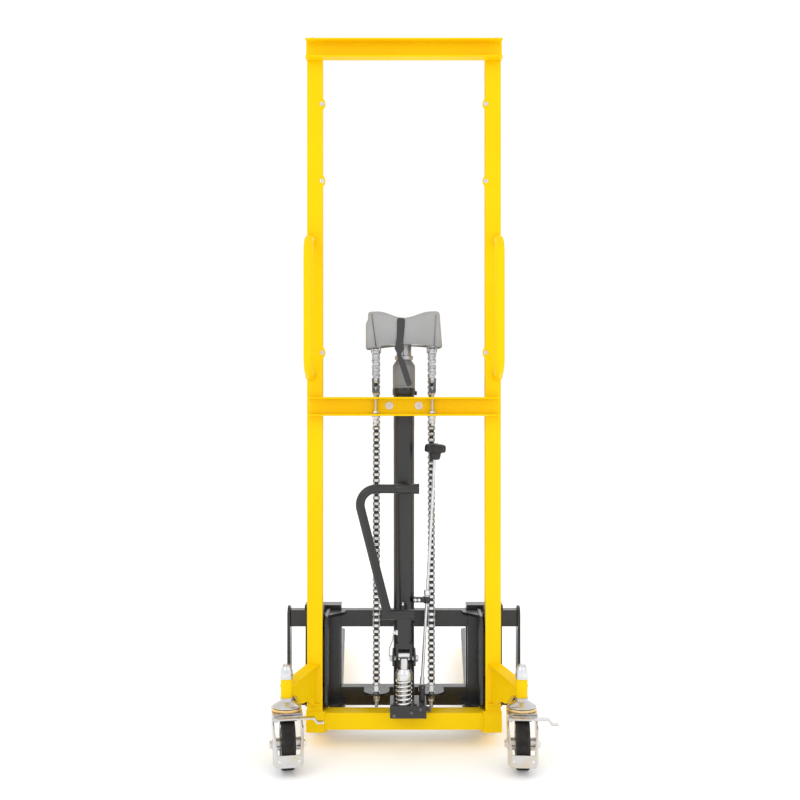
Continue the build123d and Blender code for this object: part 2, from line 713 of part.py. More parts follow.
nodes = {
    "top_crossbar": crossbar(260, TOP_BAR_LOW),
    "mid_crossbar": mid_crossbar(),
    "base_crossbar": block((-LEG_X[0], LEG_X[0]), (0, BASE_BAR_DEPTH), BASE_BAR),
    "frame_fasteners": frame_fasteners(),
    "cylinder_clamp": cylinder_clamp(),
    "cylinder_tube": cylinder_tube(),
    "cylinder_gland": cylinder_gland(),
    "pump_block": pump_block(),
    "lever_pivot_pin": lever_pivot_pin(),
    "chain_anchors_upper": chain_anchors_upper(),
    "chain_rear": chain_run(CYL_Y - PULLEY_PITCH, ANCHOR_TOP, PULLEY_Z),
    "release_bracket": release_bracket(),
    "load_roller_axles": load_roller_axles(),
    "caster_kingpins": caster_kingpins(),
    "piston_rod": piston_rod(),
    "crosshead": crosshead(),
    "pulley_axle": bar("x", (0, CYL_Y, PULLEY_Z), AXLE_RADIUS, 2 * (PULLEY_X + PULLEY_HALF) + 6),
    "crosshead_cover": crosshead_cover(),
    "cover_strap": cover_strap(),
    "chain_wraps": chain_wraps(),
    "chain_front": chain_run(CYL_Y + PULLEY_PITCH, CHAIN_FOOT, PULLEY_Z),
    "carriage_upper_beam": beam(UPPER_BEAM),
    "carriage_lower_beam": beam(LOWER_BEAM),
    "carriage_end_plates": carriage_end_plates(),
    "chain_anchors_lower": chain_anchors_lower(),
    "pump_lever": pump_lever(),
    "lever_roller": bar("x", (0, PLUNGER_Y, PUSH_ROLLER_Z), PUSH_ROLLER_RADIUS, 29.8),
    "pump_plunger": pump_plunger(),
    "plunger_spring": plunger_spring(),
    "release_rod": release_rod(),
    "release_knob": release_knob(),
}
for name, side in SIDES.items():
    nodes[f"mast_upright_{name}"] = mirrored(mast_upright(), side)
    nodes[f"leg_{name}"] = mirrored(leg(), side)
    nodes[f"caster_bracket_{name}"] = mirrored(caster_bracket(), side)
    nodes[f"push_handle_{name}"] = mirrored(push_handle(), side)
    nodes[f"pulley_{name}"] = pulley(side)
    nodes[f"roller_plate_{name}"] = roller_plate(side)
    for place, height in MAST_ROLLER_HEIGHTS.items():
        nodes[f"mast_roller_{place}_{name}"] = mast_roller(side, height)
    nodes[f"fork_{name}"] = fork(side)
    nodes[f"load_roller_{name}"] = load_roller(side)
    nodes[f"caster_yoke_{name}"] = caster_yoke(side)
    nodes[f"caster_tyre_{name}"] = caster_tyre(side)
    nodes[f"caster_hub_{name}"] = caster_hub(side)
    nodes[f"brake_pedal_{name}"] = brake_pedal(side)

os.makedirs("parts", exist_ok=True)
for name, shape in nodes.items():
    pieces = shape if isinstance(shape, list) else [shape]
    solids = [solid for piece in pieces for solid in piece.solids()]
    export_step(Compound(children=solids), f"parts/{name}.step")
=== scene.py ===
"""Manual hydraulic walkie stacker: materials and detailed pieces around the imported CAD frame.

Everything is in metres, in the CAD frame: X right, Y forward along the forks, Z up from the floor.
"""

import json
from math import cos, pi, radians, sin

import bmesh
import bpy
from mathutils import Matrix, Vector


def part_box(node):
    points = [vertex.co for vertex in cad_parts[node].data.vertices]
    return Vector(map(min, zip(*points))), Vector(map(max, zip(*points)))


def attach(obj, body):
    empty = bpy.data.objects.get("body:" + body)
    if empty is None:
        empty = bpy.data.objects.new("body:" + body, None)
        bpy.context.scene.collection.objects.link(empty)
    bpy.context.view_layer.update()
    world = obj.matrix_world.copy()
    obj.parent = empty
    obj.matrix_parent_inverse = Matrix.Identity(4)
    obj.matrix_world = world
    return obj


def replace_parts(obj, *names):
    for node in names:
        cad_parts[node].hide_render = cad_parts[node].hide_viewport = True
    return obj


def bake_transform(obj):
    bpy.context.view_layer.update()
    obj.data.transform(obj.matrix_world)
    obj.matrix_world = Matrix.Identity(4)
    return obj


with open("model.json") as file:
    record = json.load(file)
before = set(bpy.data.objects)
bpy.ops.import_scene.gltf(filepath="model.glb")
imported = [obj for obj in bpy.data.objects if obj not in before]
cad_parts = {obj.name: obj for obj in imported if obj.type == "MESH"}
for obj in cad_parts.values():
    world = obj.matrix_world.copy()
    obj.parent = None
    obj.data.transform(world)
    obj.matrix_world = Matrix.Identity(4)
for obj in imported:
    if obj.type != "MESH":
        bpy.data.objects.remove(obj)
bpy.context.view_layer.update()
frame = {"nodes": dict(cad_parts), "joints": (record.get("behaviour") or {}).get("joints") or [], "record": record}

NODES = frame["nodes"]
SIDES = {"left": -1, "right": 1}
X_AXIS, Y_AXIS, Z_AXIS = Vector((1, 0, 0)), Vector((0, 1, 0)), Vector((0, 0, 1))

# Camera: level, behind the mast
CAMERA_PLACE = (-0.0106, -2.8, 0.93)
CAMERA_LENS = 47.34
SENSOR = 36.0

# Roller chain
PITCH = 0.015875
CHAIN_ROLLER = 0.0051
CHAIN_PIN = 0.00255
PLATE_HALF = 0.0059
PLATE_THICK = 0.0016
INNER_PLATE_X = 0.006
OUTER_PLATE_X = 0.008
PIN_HALF = 0.0105
ROLLER_PLAY = 0.0004

# Edges turned more sharply than this are shaded as edges
SHARP = radians(35)

# Frame: welds, screws and bolts
FOOT_WELD_X = 0.209
BAR_BOLT_X = 0.039
TOP_BOLT_X, TOP_BOLT_Y = 0.243, -0.017
TAB_SCREW_HEIGHTS = (1.056, 1.513, 1.718)

# Lever, release and anchors
LEVER_Y = -0.04
LINK_PIN_Z = 0.32
GRIP_BEND_Z = 0.367
NIPPLE_Z = 0.39
RELEASE_ROD = (35, 0, 618)
KNOB_PLACE = (0.083, 0.01, 0.79)
KNOB_RADIUS = 0.0285
EAR_TOP = 0.131

# Casters, beside the kingpin: the wheel's half width and trail, and the yoke's outer face
WHEEL_HALF = 0.0175
WHEEL_TRAIL = -0.035
CHEEK_FACE = 0.038
RIBS = 11
RING_FOOT = 0.1402
NUT_FOOT, DOME_FOOT = 0.2191, 0.231
TOE_FACE = -0.1036


# ---- mesh helpers

def piece(name, verts, faces, body=None, material=None, smooth=True):
    """A mesh object in the row frame, riding on a body."""
    mesh = bpy.data.meshes.new(name)
    mesh.from_pydata([tuple(v) for v in verts], [], faces)
    mesh.validate()
    if smooth:
        mesh.polygons.foreach_set("use_smooth", [True] * len(mesh.polygons))
        mesh.set_sharp_from_angle(angle=SHARP)
    made = bpy.data.objects.new(name, mesh)
    bpy.context.scene.collection.objects.link(made)
    if material is not None:
        mesh.materials.append(material)
    if body is not None:
        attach(made, body)
    return made


def face_outwards(made):
    """Turns every face of a piece the same way, outwards."""
    shell = bmesh.new()
    shell.from_mesh(made.data)
    bmesh.ops.recalc_face_normals(shell, faces=shell.faces)
    shell.to_mesh(made.data)
    shell.free()
    made.data.set_sharp_from_angle(angle=SHARP)


class Shape:
    """Collects the vertices and faces of one piece."""

    def __init__(self):
        self.verts = []
        self.faces = []

    def add(self, verts, faces):
        start = len(self.verts)
        self.verts += [Vector(v) for v in verts]
        self.faces += [[start + i for i in face] for face in faces]
        return self

    def make(self, name, body, finish, slot=None):
        """The piece in one of MATERIALS. The slot argument is not used."""
        return piece(name, self.verts, self.faces, body, MATERIALS[finish])


def middle(node):
    """The centre of a CAD node's box."""
    low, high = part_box(node)
    return (low + high) / 2


def bands(rings, sides):
    """The quads between neighbouring closed rings of points."""
    faces = []
    for k in range(rings - 1):
        for i in range(sides):
            j = (i + 1) % sides
            faces.append([k * sides + i, k * sides + j, (k + 1) * sides + j, (k + 1) * sides + i])
    return faces


def caps(rings, sides):
    """The two end faces of a stack of rings."""
    return [list(range(sides))[::-1], [(rings - 1) * sides + i for i in range(sides)]]


def basis(axis):
    """Two unit vectors square to an axis and to each other."""
    axis = axis.normalized()
    helper = Z_AXIS if abs(axis.z) < 0.9 else X_AXIS
    first = axis.cross(helper).normalized()
    return first, axis.cross(first).normalized()


def lathe(shape, centre, axis, profile, sides=64, closed=False):
    """Turns (radius, height) points about an axis through a centre. A closed profile makes a ring."""
    centre, axis = Vector(centre), Vector(axis).normalized()
    u, v = basis(axis)
    verts = []
    for i in range(sides):
        angle = 2 * pi * i / sides
        out = u * cos(angle) + v * sin(angle)
        verts += [centre + axis * h + out * r for r, h in profile]
    n = len(profile)
    faces = []
    spans = n if closed else n - 1
    for i in range(sides):
        a, b = i * n, (i + 1) % sides * n
        for k in range(spans):
            m = (k + 1) % n
            faces.append([a + k, b + k, b + m, a + m])
    if not closed:
        faces.append([i * n for i in range(sides)][::-1])
        faces.append([i * n + n - 1 for i in range(sides)])
    return shape.add(verts, faces)


def rounded_bar(shape, centre, axis, radius, length, edge=0.0006, sides=32):
    """A round bar with softened ends, centred on a point."""
    half = length / 2
    profile = [(radius - edge, -half), (radius, -half + edge), (radius, half - edge), (radius - edge, half)]
    return lathe(shape, centre, axis, profile, sides)


def prism(shape, centre, axis, radius, length, sides=6, edge=0.0005, turn=0.0):
    """A nut or bolt head with softened ends, standing on its centre point."""
    axis = Vector(axis).normalized()
    u, v = basis(axis)
    verts = []
    for r, h in ((radius - edge, 0), (radius, edge), (radius, length - edge), (radius - 3 * edge, length)):
        for i in range(sides):
            angle = turn + 2 * pi * i / sides
            verts.append(Vector(centre) + axis * h + (u * cos(angle) + v * sin(angle)) * r)
    return shape.add(verts, caps(4, sides) + bands(4, sides))


def thread(shape, centre, axis, radius, length, pitch=0.00125, sides=20):
    """A screw thread as fine rings on a rod."""
    count = int(length / pitch)
    profile = []
    for i in range(count):
        h = -length / 2 + i * pitch
        profile += [(radius * 0.9, h), (radius, h + pitch * 0.5)]
    profile.append((radius * 0.9, -length / 2 + count * pitch))
    return lathe(shape, centre, axis, profile, sides)


def tube(shape, points, radius, sides=16, closed_ends=True):
    """A round tube along a list of points; radius may be a list, one for each point."""
    points = [Vector(p) for p in points]
    radii = radius if isinstance(radius, list) else [radius] * len(points)
    verts = []
    u = None
    for i, point in enumerate(points):
        ahead = points[min(i + 1, len(points) - 1)] - points[max(i - 1, 0)]
        ahead.normalize()
        u = basis(ahead)[0] if u is None else (u - ahead * u.dot(ahead)).normalized()
        v = ahead.cross(u)
        for k in range(sides):
            angle = 2 * pi * k / sides
            verts.append(point + (u * cos(angle) + v * sin(angle)) * radii[i])
    ends = caps(len(points), sides) if closed_ends else []
    return shape.add(verts, bands(len(points), sides) + ends)


def ring(shape, centre, axis, bore, outer, thick, sides):
    """A flat washer."""
    profile = [(bore, 0), (outer, 0), (outer, thick), (bore, thick)]
    return lathe(shape, centre, axis, profile, sides, closed=True)


def weld(shape, start, end, size=0.0035, step=0.0042):
    """A rippled weld bead along a straight seam."""
    start, end = Vector(start), Vector(end)
    count = max(3, int((end - start).length / step))
    points, radii = [], []
    for i in range(count * 4 + 1):
        share = i / (count * 4)
        ripple = 0.86 + 0.14 * abs(sin(pi * i / 4 + 0.4))
        taper = min(1.0, 6 * share + 0.35, 6 * (1 - share) + 0.35)
        points.append(start.lerp(end, share))
        radii.append(size * ripple * taper)
    return tube(shape, points, radii, sides=10)


def soften(name, width=0.0008):
    """Rounds a CAD node's edges with modifiers, leaving its own mesh as it is."""
    node = NODES[name]
    join = node.modifiers.new("join", "WELD")
    join.merge_threshold = 0.00002
    bevel = node.modifiers.new("edges", "BEVEL")
    bevel.width = width
    bevel.segments = 2
    bevel.limit_method = "ANGLE"
    bevel.angle_limit = radians(40)
    bevel.harden_normals = True


# ---- materials

class Maker:
    """Builds a node material around one principled shader."""

    def __init__(self, name):
        self.material = bpy.data.materials.new(name)
        self.material.use_nodes = True
        self.tree = self.material.node_tree
        self.tree.nodes.clear()
        self.shader = self.node("ShaderNodeBsdfPrincipled")
        out = self.node("ShaderNodeOutputMaterial")
        self.link(self.shader.outputs[0], out.inputs[0])
        coords = self.node("ShaderNodeTexCoord")
        self.place = coords.outputs["Object"]

    def node(self, kind, **settings):
        made = self.tree.nodes.new(kind)
        for key, value in settings.items():
            setattr(made, key, value)
        return made

    def link(self, source, target):
        self.tree.links.new(source, target)

    def set(self, **values):
        """Sets constants on the shader's own sockets, underscores standing for spaces."""
        for key, value in values.items():
            self.shader.inputs[key.replace("_", " ")].default_value = value
        return self

    def stretched(self, scale):
        mapping = self.node("ShaderNodeMapping")
        mapping.inputs["Scale"].default_value = scale
        self.link(self.place, mapping.inputs["Vector"])
        return mapping.outputs[0]

    def noise(self, scale, detail=3.0, roughness=0.5, vector=None):
        made = self.node("ShaderNodeTexNoise")
        made.inputs["Scale"].default_value = scale
        made.inputs["Detail"].default_value = detail
        made.inputs["Roughness"].default_value = roughness
        self.link(vector or self.place, made.inputs["Vector"])
        return made.outputs["Fac"]

    def ramp(self, source, stops):
        made = self.node("ShaderNodeValToRGB")
        ramp = made.color_ramp
        ramp.elements[0].position, ramp.elements[0].color = stops[0][0], grey(stops[0][1])
        ramp.elements[1].position, ramp.elements[1].color = stops[-1][0], grey(stops[-1][1])
        for position, value in stops[1:-1]:
            ramp.elements.new(position).color = grey(value)
        self.link(source, made.inputs[0])
        return made.outputs[0]

    def feed(self, made, values):
        """Fills a node's inputs, given by number, from sockets or constants."""
        for number, value in values.items():
            if isinstance(value, (int, float)):
                made.inputs[number].default_value = value
            elif isinstance(value, tuple):
                made.inputs[number].default_value = (*value, 1.0)
            else:
                self.link(value, made.inputs[number])

    def mix(self, share, first, second):
        """A colour mix; share, first and second may be sockets or constants."""
        made = self.node("ShaderNodeMix", data_type="RGBA")
        self.feed(made, {0: share, 6: first, 7: second})
        return made.outputs[2]

    def math(self, operation, first, second=0.0):
        made = self.node("ShaderNodeMath", operation=operation)
        self.feed(made, {0: first, 1: second})
        return made.outputs[0]

    def rounded(self, radius):
        made = self.node("ShaderNodeBevel", samples=4)
        made.inputs["Radius"].default_value = radius
        return made.outputs[0]

    def bump(self, height, strength, distance, normal=None):
        made = self.node("ShaderNodeBump")
        made.inputs["Strength"].default_value = strength
        made.inputs["Distance"].default_value = distance
        self.link(height, made.inputs["Height"])
        if normal is not None:
            self.link(normal, made.inputs["Normal"])
        return made.outputs[0]

    def edge_wear(self, radius, low, high):
        """1 along sharp edges, broken up by noise, and 0 elsewhere."""
        dot = self.node("ShaderNodeVectorMath", operation="DOT_PRODUCT")
        geometry = self.node("ShaderNodeNewGeometry")
        self.link(self.rounded(radius), dot.inputs[0])
        self.link(geometry.outputs["Normal"], dot.inputs[1])
        edge = self.ramp(self.math("SUBTRACT", 1.0, dot.outputs["Value"]), [(0.02, 0.0), (0.12, 1.0)])
        patches = self.ramp(self.noise(55.0, 4.0, 0.6), [(low, 0.0), (high, 1.0)])
        return self.math("MULTIPLY", edge, patches)


def grey(value):
    return (value, value, value, 1.0) if isinstance(value, (int, float)) else (*value, 1.0)


def powder_coat(name, colour, deeper, rough, wear, worn, peel=0.16):
    """Powder coat: faint random shifts between two tones, orange peel, dust in the roughness, and rubbed edges."""
    m = Maker(name)
    # The second tone is a random tone, except in the yellow paint, where it is painted shade.
    tone_and_light_drift = m.ramp(m.noise(3.5, 4.0, 0.55), [(0.35, 0.0), (0.7, 1.0)])
    base = m.mix(tone_and_light_drift, colour, deeper)
    rub = m.edge_wear(0.0016, *wear)
    m.link(m.mix(rub, base, worn), m.shader.inputs["Base Color"])
    dust = m.ramp(m.noise(38.0, 5.0, 0.65), [(0.3, rough - 0.06), (0.75, rough + 0.09)])
    m.link(dust, m.shader.inputs["Roughness"])
    peel_height = m.noise(620.0, 2.0, 0.5)
    m.link(m.bump(peel_height, peel, 0.0004, m.rounded(0.0012)), m.shader.inputs["Normal"])
    return m


def yellow_paint():
    # The second, more orange yellow is painted shade: a shaded copy of the yellow, mixed in at random.
    m = powder_coat(
        "yellow_paint", (0.94, 0.635, 0.001), (0.93, 0.58, 0.001), 0.42, (0.68, 0.74), (0.6, 0.3, 0.02)
    )
    return m.set(Coat_Weight=0.02, Coat_Roughness=0.16, Specular_IOR_Level=0.08).material


def black_paint():
    m = powder_coat(
        "black_paint", (0.013, 0.013, 0.014), (0.019, 0.019, 0.02), 0.36, (0.6, 0.68),
        (0.09, 0.09, 0.09), 0.1
    )
    return m.set(Coat_Weight=0.45, Coat_Roughness=0.16, Specular_IOR_Level=0.35).material


# Painted reflection: this grey stands for the white sheen of a clear guard in front of the cylinder head, which is
# not built. The head itself is black like the cylinder below it.
def gland_grey():
    m = powder_coat(
        "gland_grey", (0.27, 0.27, 0.27), (0.24, 0.24, 0.24), 0.45, (0.6, 0.68), (0.4, 0.4, 0.4)
    )
    return m.set(Specular_IOR_Level=0.35).material


def plastic(name, colour, other, rough, grain_scale, grain):
    """Moulded plastic with a fine grain."""
    m = Maker(name)
    tone = m.ramp(m.noise(14.0, 3.0), [(0.35, 0.0), (0.7, 1.0)])
    m.link(m.mix(tone, colour, other), m.shader.inputs["Base Color"])
    m.link(
        m.ramp(m.noise(60.0, 4.0), [(0.3, rough - 0.05), (0.7, rough + 0.08)]),
        m.shader.inputs["Roughness"]
    )
    m.link(m.bump(m.noise(grain_scale, 2.0), grain, 0.0003, m.rounded(0.0015)), m.shader.inputs["Normal"])
    return m.set(Specular_IOR_Level=0.4).material


def metal(name, colour, other, rough, brushed, scratch=0.12, oil=None):
    """Plated or machined steel: streaks along one direction, blotches, and fine scratches."""
    m = Maker(name)
    streaks = m.noise(90.0, 4.0, 0.6, m.stretched(brushed))
    blotch = m.ramp(m.noise(26.0, 4.0, 0.6), [(0.38, 0.0), (0.68, 1.0)])
    base = m.mix(blotch, colour, other)
    if oil is not None:
        grime = m.ramp(m.noise(140.0, 3.0, 0.6), [(0.5, 0.0), (0.72, 0.8)])
        base = m.mix(grime, base, oil)
    m.link(base, m.shader.inputs["Base Color"])
    m.link(m.ramp(streaks, [(0.3, rough - 0.06), (0.7, rough + 0.1)]), m.shader.inputs["Roughness"])
    m.link(m.bump(streaks, scratch, 0.0002, m.rounded(0.0006)), m.shader.inputs["Normal"])
    return m.set(Metallic=1.0).material


def plate_with_painted_reflection():
    """Bright plate: random patches of yellow tint, painted reflection of the yellow frame seen in the plate, and a
    purple blush of its own iridescent passivated finish.
    """
    m = Maker("chrome_plate")
    tone_and_light_drift = m.noise(18.0, 3.0, 0.6)
    # The yellow tint is painted reflection of the yellow paint round the plated parts, laid in random patches.
    base = m.mix(m.ramp(tone_and_light_drift, [(0.42, 0.0), (0.66, 1.0)]), (0.6, 0.6, 0.615), (0.6, 0.53, 0.41))
    blush = m.ramp(m.noise(31.0, 3.0, 0.6), [(0.56, 0.0), (0.74, 0.35)])
    m.link(m.mix(blush, base, (0.56, 0.48, 0.56)), m.shader.inputs["Base Color"])
    m.link(m.ramp(m.noise(70.0, 4.0), [(0.3, 0.14), (0.75, 0.3)]), m.shader.inputs["Roughness"])
    m.link(m.bump(m.noise(240.0, 3.0), 0.08, 0.0003, m.rounded(0.001)), m.shader.inputs["Normal"])
    return m.set(Metallic=1.0).material


def tread_rubber():
    m = Maker("tread_rubber")
    dust = m.ramp(m.noise(45.0, 5.0, 0.65), [(0.45, 0.0), (0.8, 0.5)])
    m.link(m.mix(dust, (0.022, 0.019, 0.017), (0.075, 0.068, 0.06)), m.shader.inputs["Base Color"])
    m.link(m.ramp(m.noise(80.0, 4.0), [(0.3, 0.55), (0.7, 0.8)]), m.shader.inputs["Roughness"])
    m.link(m.bump(m.noise(420.0, 3.0), 0.3, 0.0004), m.shader.inputs["Normal"])
    return m.set(Specular_IOR_Level=0.3).material


def webbing():
    """Woven look for the dark band over the hood: two crossed sets of fine ridges. The band is painted shade for a
    streak in a clear guard's sheen.
    """
    m = Maker("webbing")
    heights = []
    for scale in ((0, 0, 1), (1, 0, 0)):
        wave = m.node("ShaderNodeTexWave", bands_direction="Z" if scale[2] else "X")
        wave.inputs["Scale"].default_value = 260.0
        wave.inputs["Distortion"].default_value = 0.4
        m.link(m.place, wave.inputs["Vector"])
        heights.append(wave.outputs["Fac"])
    weave = m.math("MULTIPLY", heights[0], heights[1])
    fibre = m.noise(900.0, 3.0)
    # Dark colours of the band that stands for the streak: painted shade.
    m.link(m.mix(weave, (0.03, 0.03, 0.032), (0.085, 0.085, 0.09)), m.shader.inputs["Base Color"])
    m.link(m.ramp(fibre, [(0.3, 0.7), (0.7, 0.9)]), m.shader.inputs["Roughness"])
    m.link(
        m.bump(m.math("ADD", weave, m.math("MULTIPLY", fibre, 0.3)), 0.6, 0.0004),
        m.shader.inputs["Normal"]
    )
    return m.set(Sheen_Weight=0.3, Sheen_Roughness=0.5).material


MATERIALS = {
    "yellow_paint": yellow_paint(),
    "black_paint": black_paint(),
    "gland_grey": gland_grey(),
    # Hood grey: partly the hood's own darker colour, partly painted reflection, the white sheen of a clear guard
    # in front, which is not built.
    "cover_grey": plastic("cover_grey", (0.34, 0.34, 0.34), (0.37, 0.37, 0.37), 0.55, 700.0, 0.2),
    "zinc": metal("zinc", (0.76, 0.77, 0.79), (0.64, 0.65, 0.67), 0.3, (6, 6, 1)),
    "white_zinc": plastic("white_zinc", (0.8, 0.8, 0.82), (0.74, 0.74, 0.76), 0.42, 300.0, 0.1),
    "gold": metal("gold", (0.9, 0.58, 0.22), (0.86, 0.66, 0.36), 0.24, (1, 1, 6), 0.06),
    "dark_steel": metal("dark_steel", (0.16, 0.16, 0.165), (0.1, 0.1, 0.105), 0.36, (1, 1, 6), 0.1),
    "satin_steel": metal("satin_steel", (0.5, 0.5, 0.51), (0.44, 0.44, 0.45), 0.34, (1, 1, 14), 0.08),
    "bright_steel": metal("bright_steel", (0.84, 0.84, 0.85), (0.74, 0.74, 0.75), 0.18, (1, 1, 8), 0.06),
    # The rear chain run's steel is lighter than the other runs: painted reflection, the white sheen of a clear
    # guard in front, which is not built. Its dark spots are oily grime.
    "guard_sheen_steel": metal(
        "guard_sheen_steel", (0.62, 0.62, 0.63), (0.5, 0.5, 0.51), 0.4, (1, 6, 6), 0.1, (0.2, 0.2, 0.2)
    ),
    # Painted shade: a dark sheet between each link's inner plates stands for the shade in the gaps between the
    # rollers.
    "gap_shade": plastic("gap_shade", (0.012, 0.011, 0.01), (0.022, 0.02, 0.018), 0.3, 260.0, 0.5),
    "chrome_plate": plate_with_painted_reflection(),
    "chain_steel": metal(
        "chain_steel", (0.56, 0.56, 0.57), (0.36, 0.355, 0.35), 0.3, (1, 6, 6), 0.1, (0.06, 0.055, 0.05)
    ),
    "webbing": webbing(),
    "knob_plastic": plastic(
        "knob_plastic", (0.016, 0.016, 0.017), (0.024, 0.024, 0.025), 0.38, 520.0, 0.15
    ),
    "tread_rubber": tread_rubber(),
    "nylon": plastic("nylon", (0.66, 0.64, 0.58), (0.58, 0.56, 0.5), 0.5, 300.0, 0.15),
}


FINISHES = {
    "piston_rod": "satin_steel",
    "crosshead": "satin_steel",
    "pump_plunger": "zinc",
    "lever_roller": "zinc",
}


def dress_cad():
    """Gives every CAD node the material of its slot."""
    for entry in frame["record"]["subparts"]:
        mesh = NODES[entry["node"]].data
        mesh.materials.clear()
        mesh.materials.append(MATERIALS[FINISHES.get(entry["node"], entry["material_slot"])])


# ---- chains

def chain_path(pulley_centre, pitch_radius, low_rear, low_front):
    """A chain's centre line by distance: up the rear run, over the pulley, down the front run."""
    x, y, z = pulley_centre
    rear = z - low_rear
    half_turn = pi * pitch_radius

    def at(distance):
        if distance <= rear:
            return Vector((x, y - pitch_radius, low_rear + distance))
        if distance <= rear + half_turn:
            angle = (distance - rear) / pitch_radius
            return Vector((x, y - pitch_radius * cos(angle), z + pitch_radius * sin(angle)))
        return Vector((x, y + pitch_radius, z - (distance - rear - half_turn)))

    return at, rear, half_turn, z - low_front


def link_plate(shape, start, end, side_x, half, thick):
    """A figure-of-eight chain plate between two pins, standing off the centre line along X."""
    ahead = (end - start).normalized()
    across = X_AXIS.cross(ahead).normalized()
    outline = []
    for centre, turn in ((end, 0.0), (start, pi)):
        for i in range(7):
            angle = turn - pi / 2 + pi * i / 6
            outline.append(centre + ahead * (half * cos(angle)) + across * (half * sin(angle)))
        waist = (start + end) / 2 + across * (half * 0.8 * (1 if turn == 0.0 else -1))
        outline.append(waist)
    n = len(outline)
    verts = [p + X_AXIS * (side_x + d) for d in (0, thick) for p in outline]
    faces = [list(range(n)), [n + i for i in range(n)][::-1]]
    for i in range(n):
        j = (i + 1) % n
        faces.append([i, n + i, n + j, j])
    shape.add(verts, faces)


def chain_links(at, total):
    """The pins of a whole chain, as (distance, place) pairs one pitch apart."""
    return [(k * PITCH, at(k * PITCH)) for k in range(int(total / PITCH) + 1)]


# The gap sheets take a dark colour that is painted shade.
CHAIN_FINISHES = {"links": "chain_steel", "rollers": "bright_steel", "gap_shade": "gap_shade"}
# The whole rear run, rollers and gap sheets too, takes the lighter steel of painted guard sheen.
REAR_GUARD_SHEEN = "guard_sheen_steel"


def chains():
    """Two roller chains, each in three runs: up the rear, over the pulley, and down the front."""
    rear_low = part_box("chain_rear")[0].z
    front_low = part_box("chain_front")[0].z
    for name in SIDES:
        centre = middle(f"pulley_{name}")
        radius = centre.y - middle("chain_rear").y
        at, rear, turn, front = chain_path(centre, radius, rear_low, front_low)
        pins = chain_links(at, rear + turn + front)
        parts = {word: {run: Shape() for run in ("rear", "wrap", "front")} for word in CHAIN_FINISHES}
        for k, (distance, place) in enumerate(pins):
            run = "rear" if distance <= rear else "wrap" if distance <= rear + turn else "front"
            shape = parts["links"][run]
            width = 2 * INNER_PLATE_X
            rounded_bar(parts["rollers"][run], place, X_AXIS, CHAIN_ROLLER, width - ROLLER_PLAY, 0.0006, 20)
            rounded_bar(shape, place, X_AXIS, CHAIN_PIN, 2 * PIN_HALF, 0.0004, 10)
            if k + 1 == len(pins):
                continue
            offset = INNER_PLATE_X if k % 2 == 0 else OUTER_PLATE_X
            following = pins[k + 1][1]
            for side_x in (offset, -offset - PLATE_THICK):
                link_plate(shape, place, following, side_x, PLATE_HALF, PLATE_THICK)
            # A dark sheet filling the gap between the rollers: painted shade.
            link_plate(parts["gap_shade"][run], place, following, -INNER_PLATE_X, PLATE_HALF * 0.5, width)
        for word, finish in CHAIN_FINISHES.items():
            # Rear run: painted reflection of the guard's sheen in its colour.
            made = parts[word]["rear"].make(f"chain_rear_{word}_{name}", None, REAR_GUARD_SHEEN, "chain_steel")
            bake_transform(made)
            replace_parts(made, "chain_rear")
            made = parts[word]["wrap"].make(f"chain_wrap_{word}_{name}", "ram", finish, "chain_steel")
            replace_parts(made, "chain_wraps")
            made = parts[word]["front"].make(f"chain_front_{word}_{name}", None, finish, "chain_steel")
            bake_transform(made)
            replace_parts(made, "chain_front")


# ---- pump group

def return_spring():
    """The plunger's coil spring, with closed ends, stretching between the block and the plunger's cup."""
    low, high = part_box("plunger_spring")
    centre = (low + high) / 2
    wire = 0.0025
    radius = (high.x - low.x) / 2 - wire
    turns, steps = 6.5, 40
    floor, top = low.z + wire, high.z - wire
    points = []
    count = int(turns * steps)
    for i in range(count + 1):
        share = i / count
        rise = min(max((share - 0.09) / 0.82, 0.0), 1.0)
        angle = 2 * pi * turns * share
        points.append(
            (centre.x + radius * cos(angle), centre.y + radius * sin(angle), floor + (top - floor) * rise)
        )
    shape = tube(Shape(), points, wire, sides=12)
    made = shape.make("return_spring", None, "bright_steel", "chrome_plate")
    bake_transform(made)
    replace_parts(made, "plunger_spring")


# ---- welds

def frame_welds():
    """Weld beads where the mast's members, feet and brackets meet."""
    shape = Shape()
    for name, side in SIDES.items():
        low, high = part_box(f"mast_upright_{name}")
        for bar in ("top_crossbar", "mid_crossbar"):
            bar_low, bar_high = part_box(bar)
            inner = low.x if side > 0 else high.x
            weld(shape, (inner, -0.0005, bar_low.z + 0.006), (inner, -0.0005, bar_high.z - 0.006), 0.0028)
            outer = min(high.x, bar_high.x) if side > 0 else max(low.x, bar_low.x)
            weld(shape, (outer, -0.0005, bar_low.z + 0.004), (outer, -0.0005, bar_high.z - 0.004), 0.0028)
        weld(shape, (low.x + 0.003, -0.0002, low.z), (high.x - 0.003, -0.0002, low.z), 0.003)
        weld(shape, (side * FOOT_WELD_X, 0.004, 0.0955), (side * FOOT_WELD_X, 0.05, 0.0955), 0.003)
        weld(shape, (side * FOOT_WELD_X, -0.0004, 0.055), (side * FOOT_WELD_X, -0.0004, 0.094), 0.003)
    shape.make("frame_welds", "chassis", "yellow_paint")


# ---- cover, and the dark band over it (painted shade)

def arc_points(points, radius, steps=5):
    """Rounds the corners of an open (X, Z) path."""
    out = [Vector(points[0])]
    for before, corner, after in zip(points, points[1:], points[2:]):
        corner = Vector(corner)
        back, ahead = Vector(before) - corner, Vector(after) - corner
        reach = min(radius, back.length * 0.45, ahead.length * 0.45)
        start, end = corner + back.normalized() * reach, corner + ahead.normalized() * reach
        for i in range(steps + 1):
            t = i / steps
            out.append(start * (1 - t) ** 2 + corner * 2 * t * (1 - t) + end * t * t)
    out.append(Vector(points[-1]))
    return out


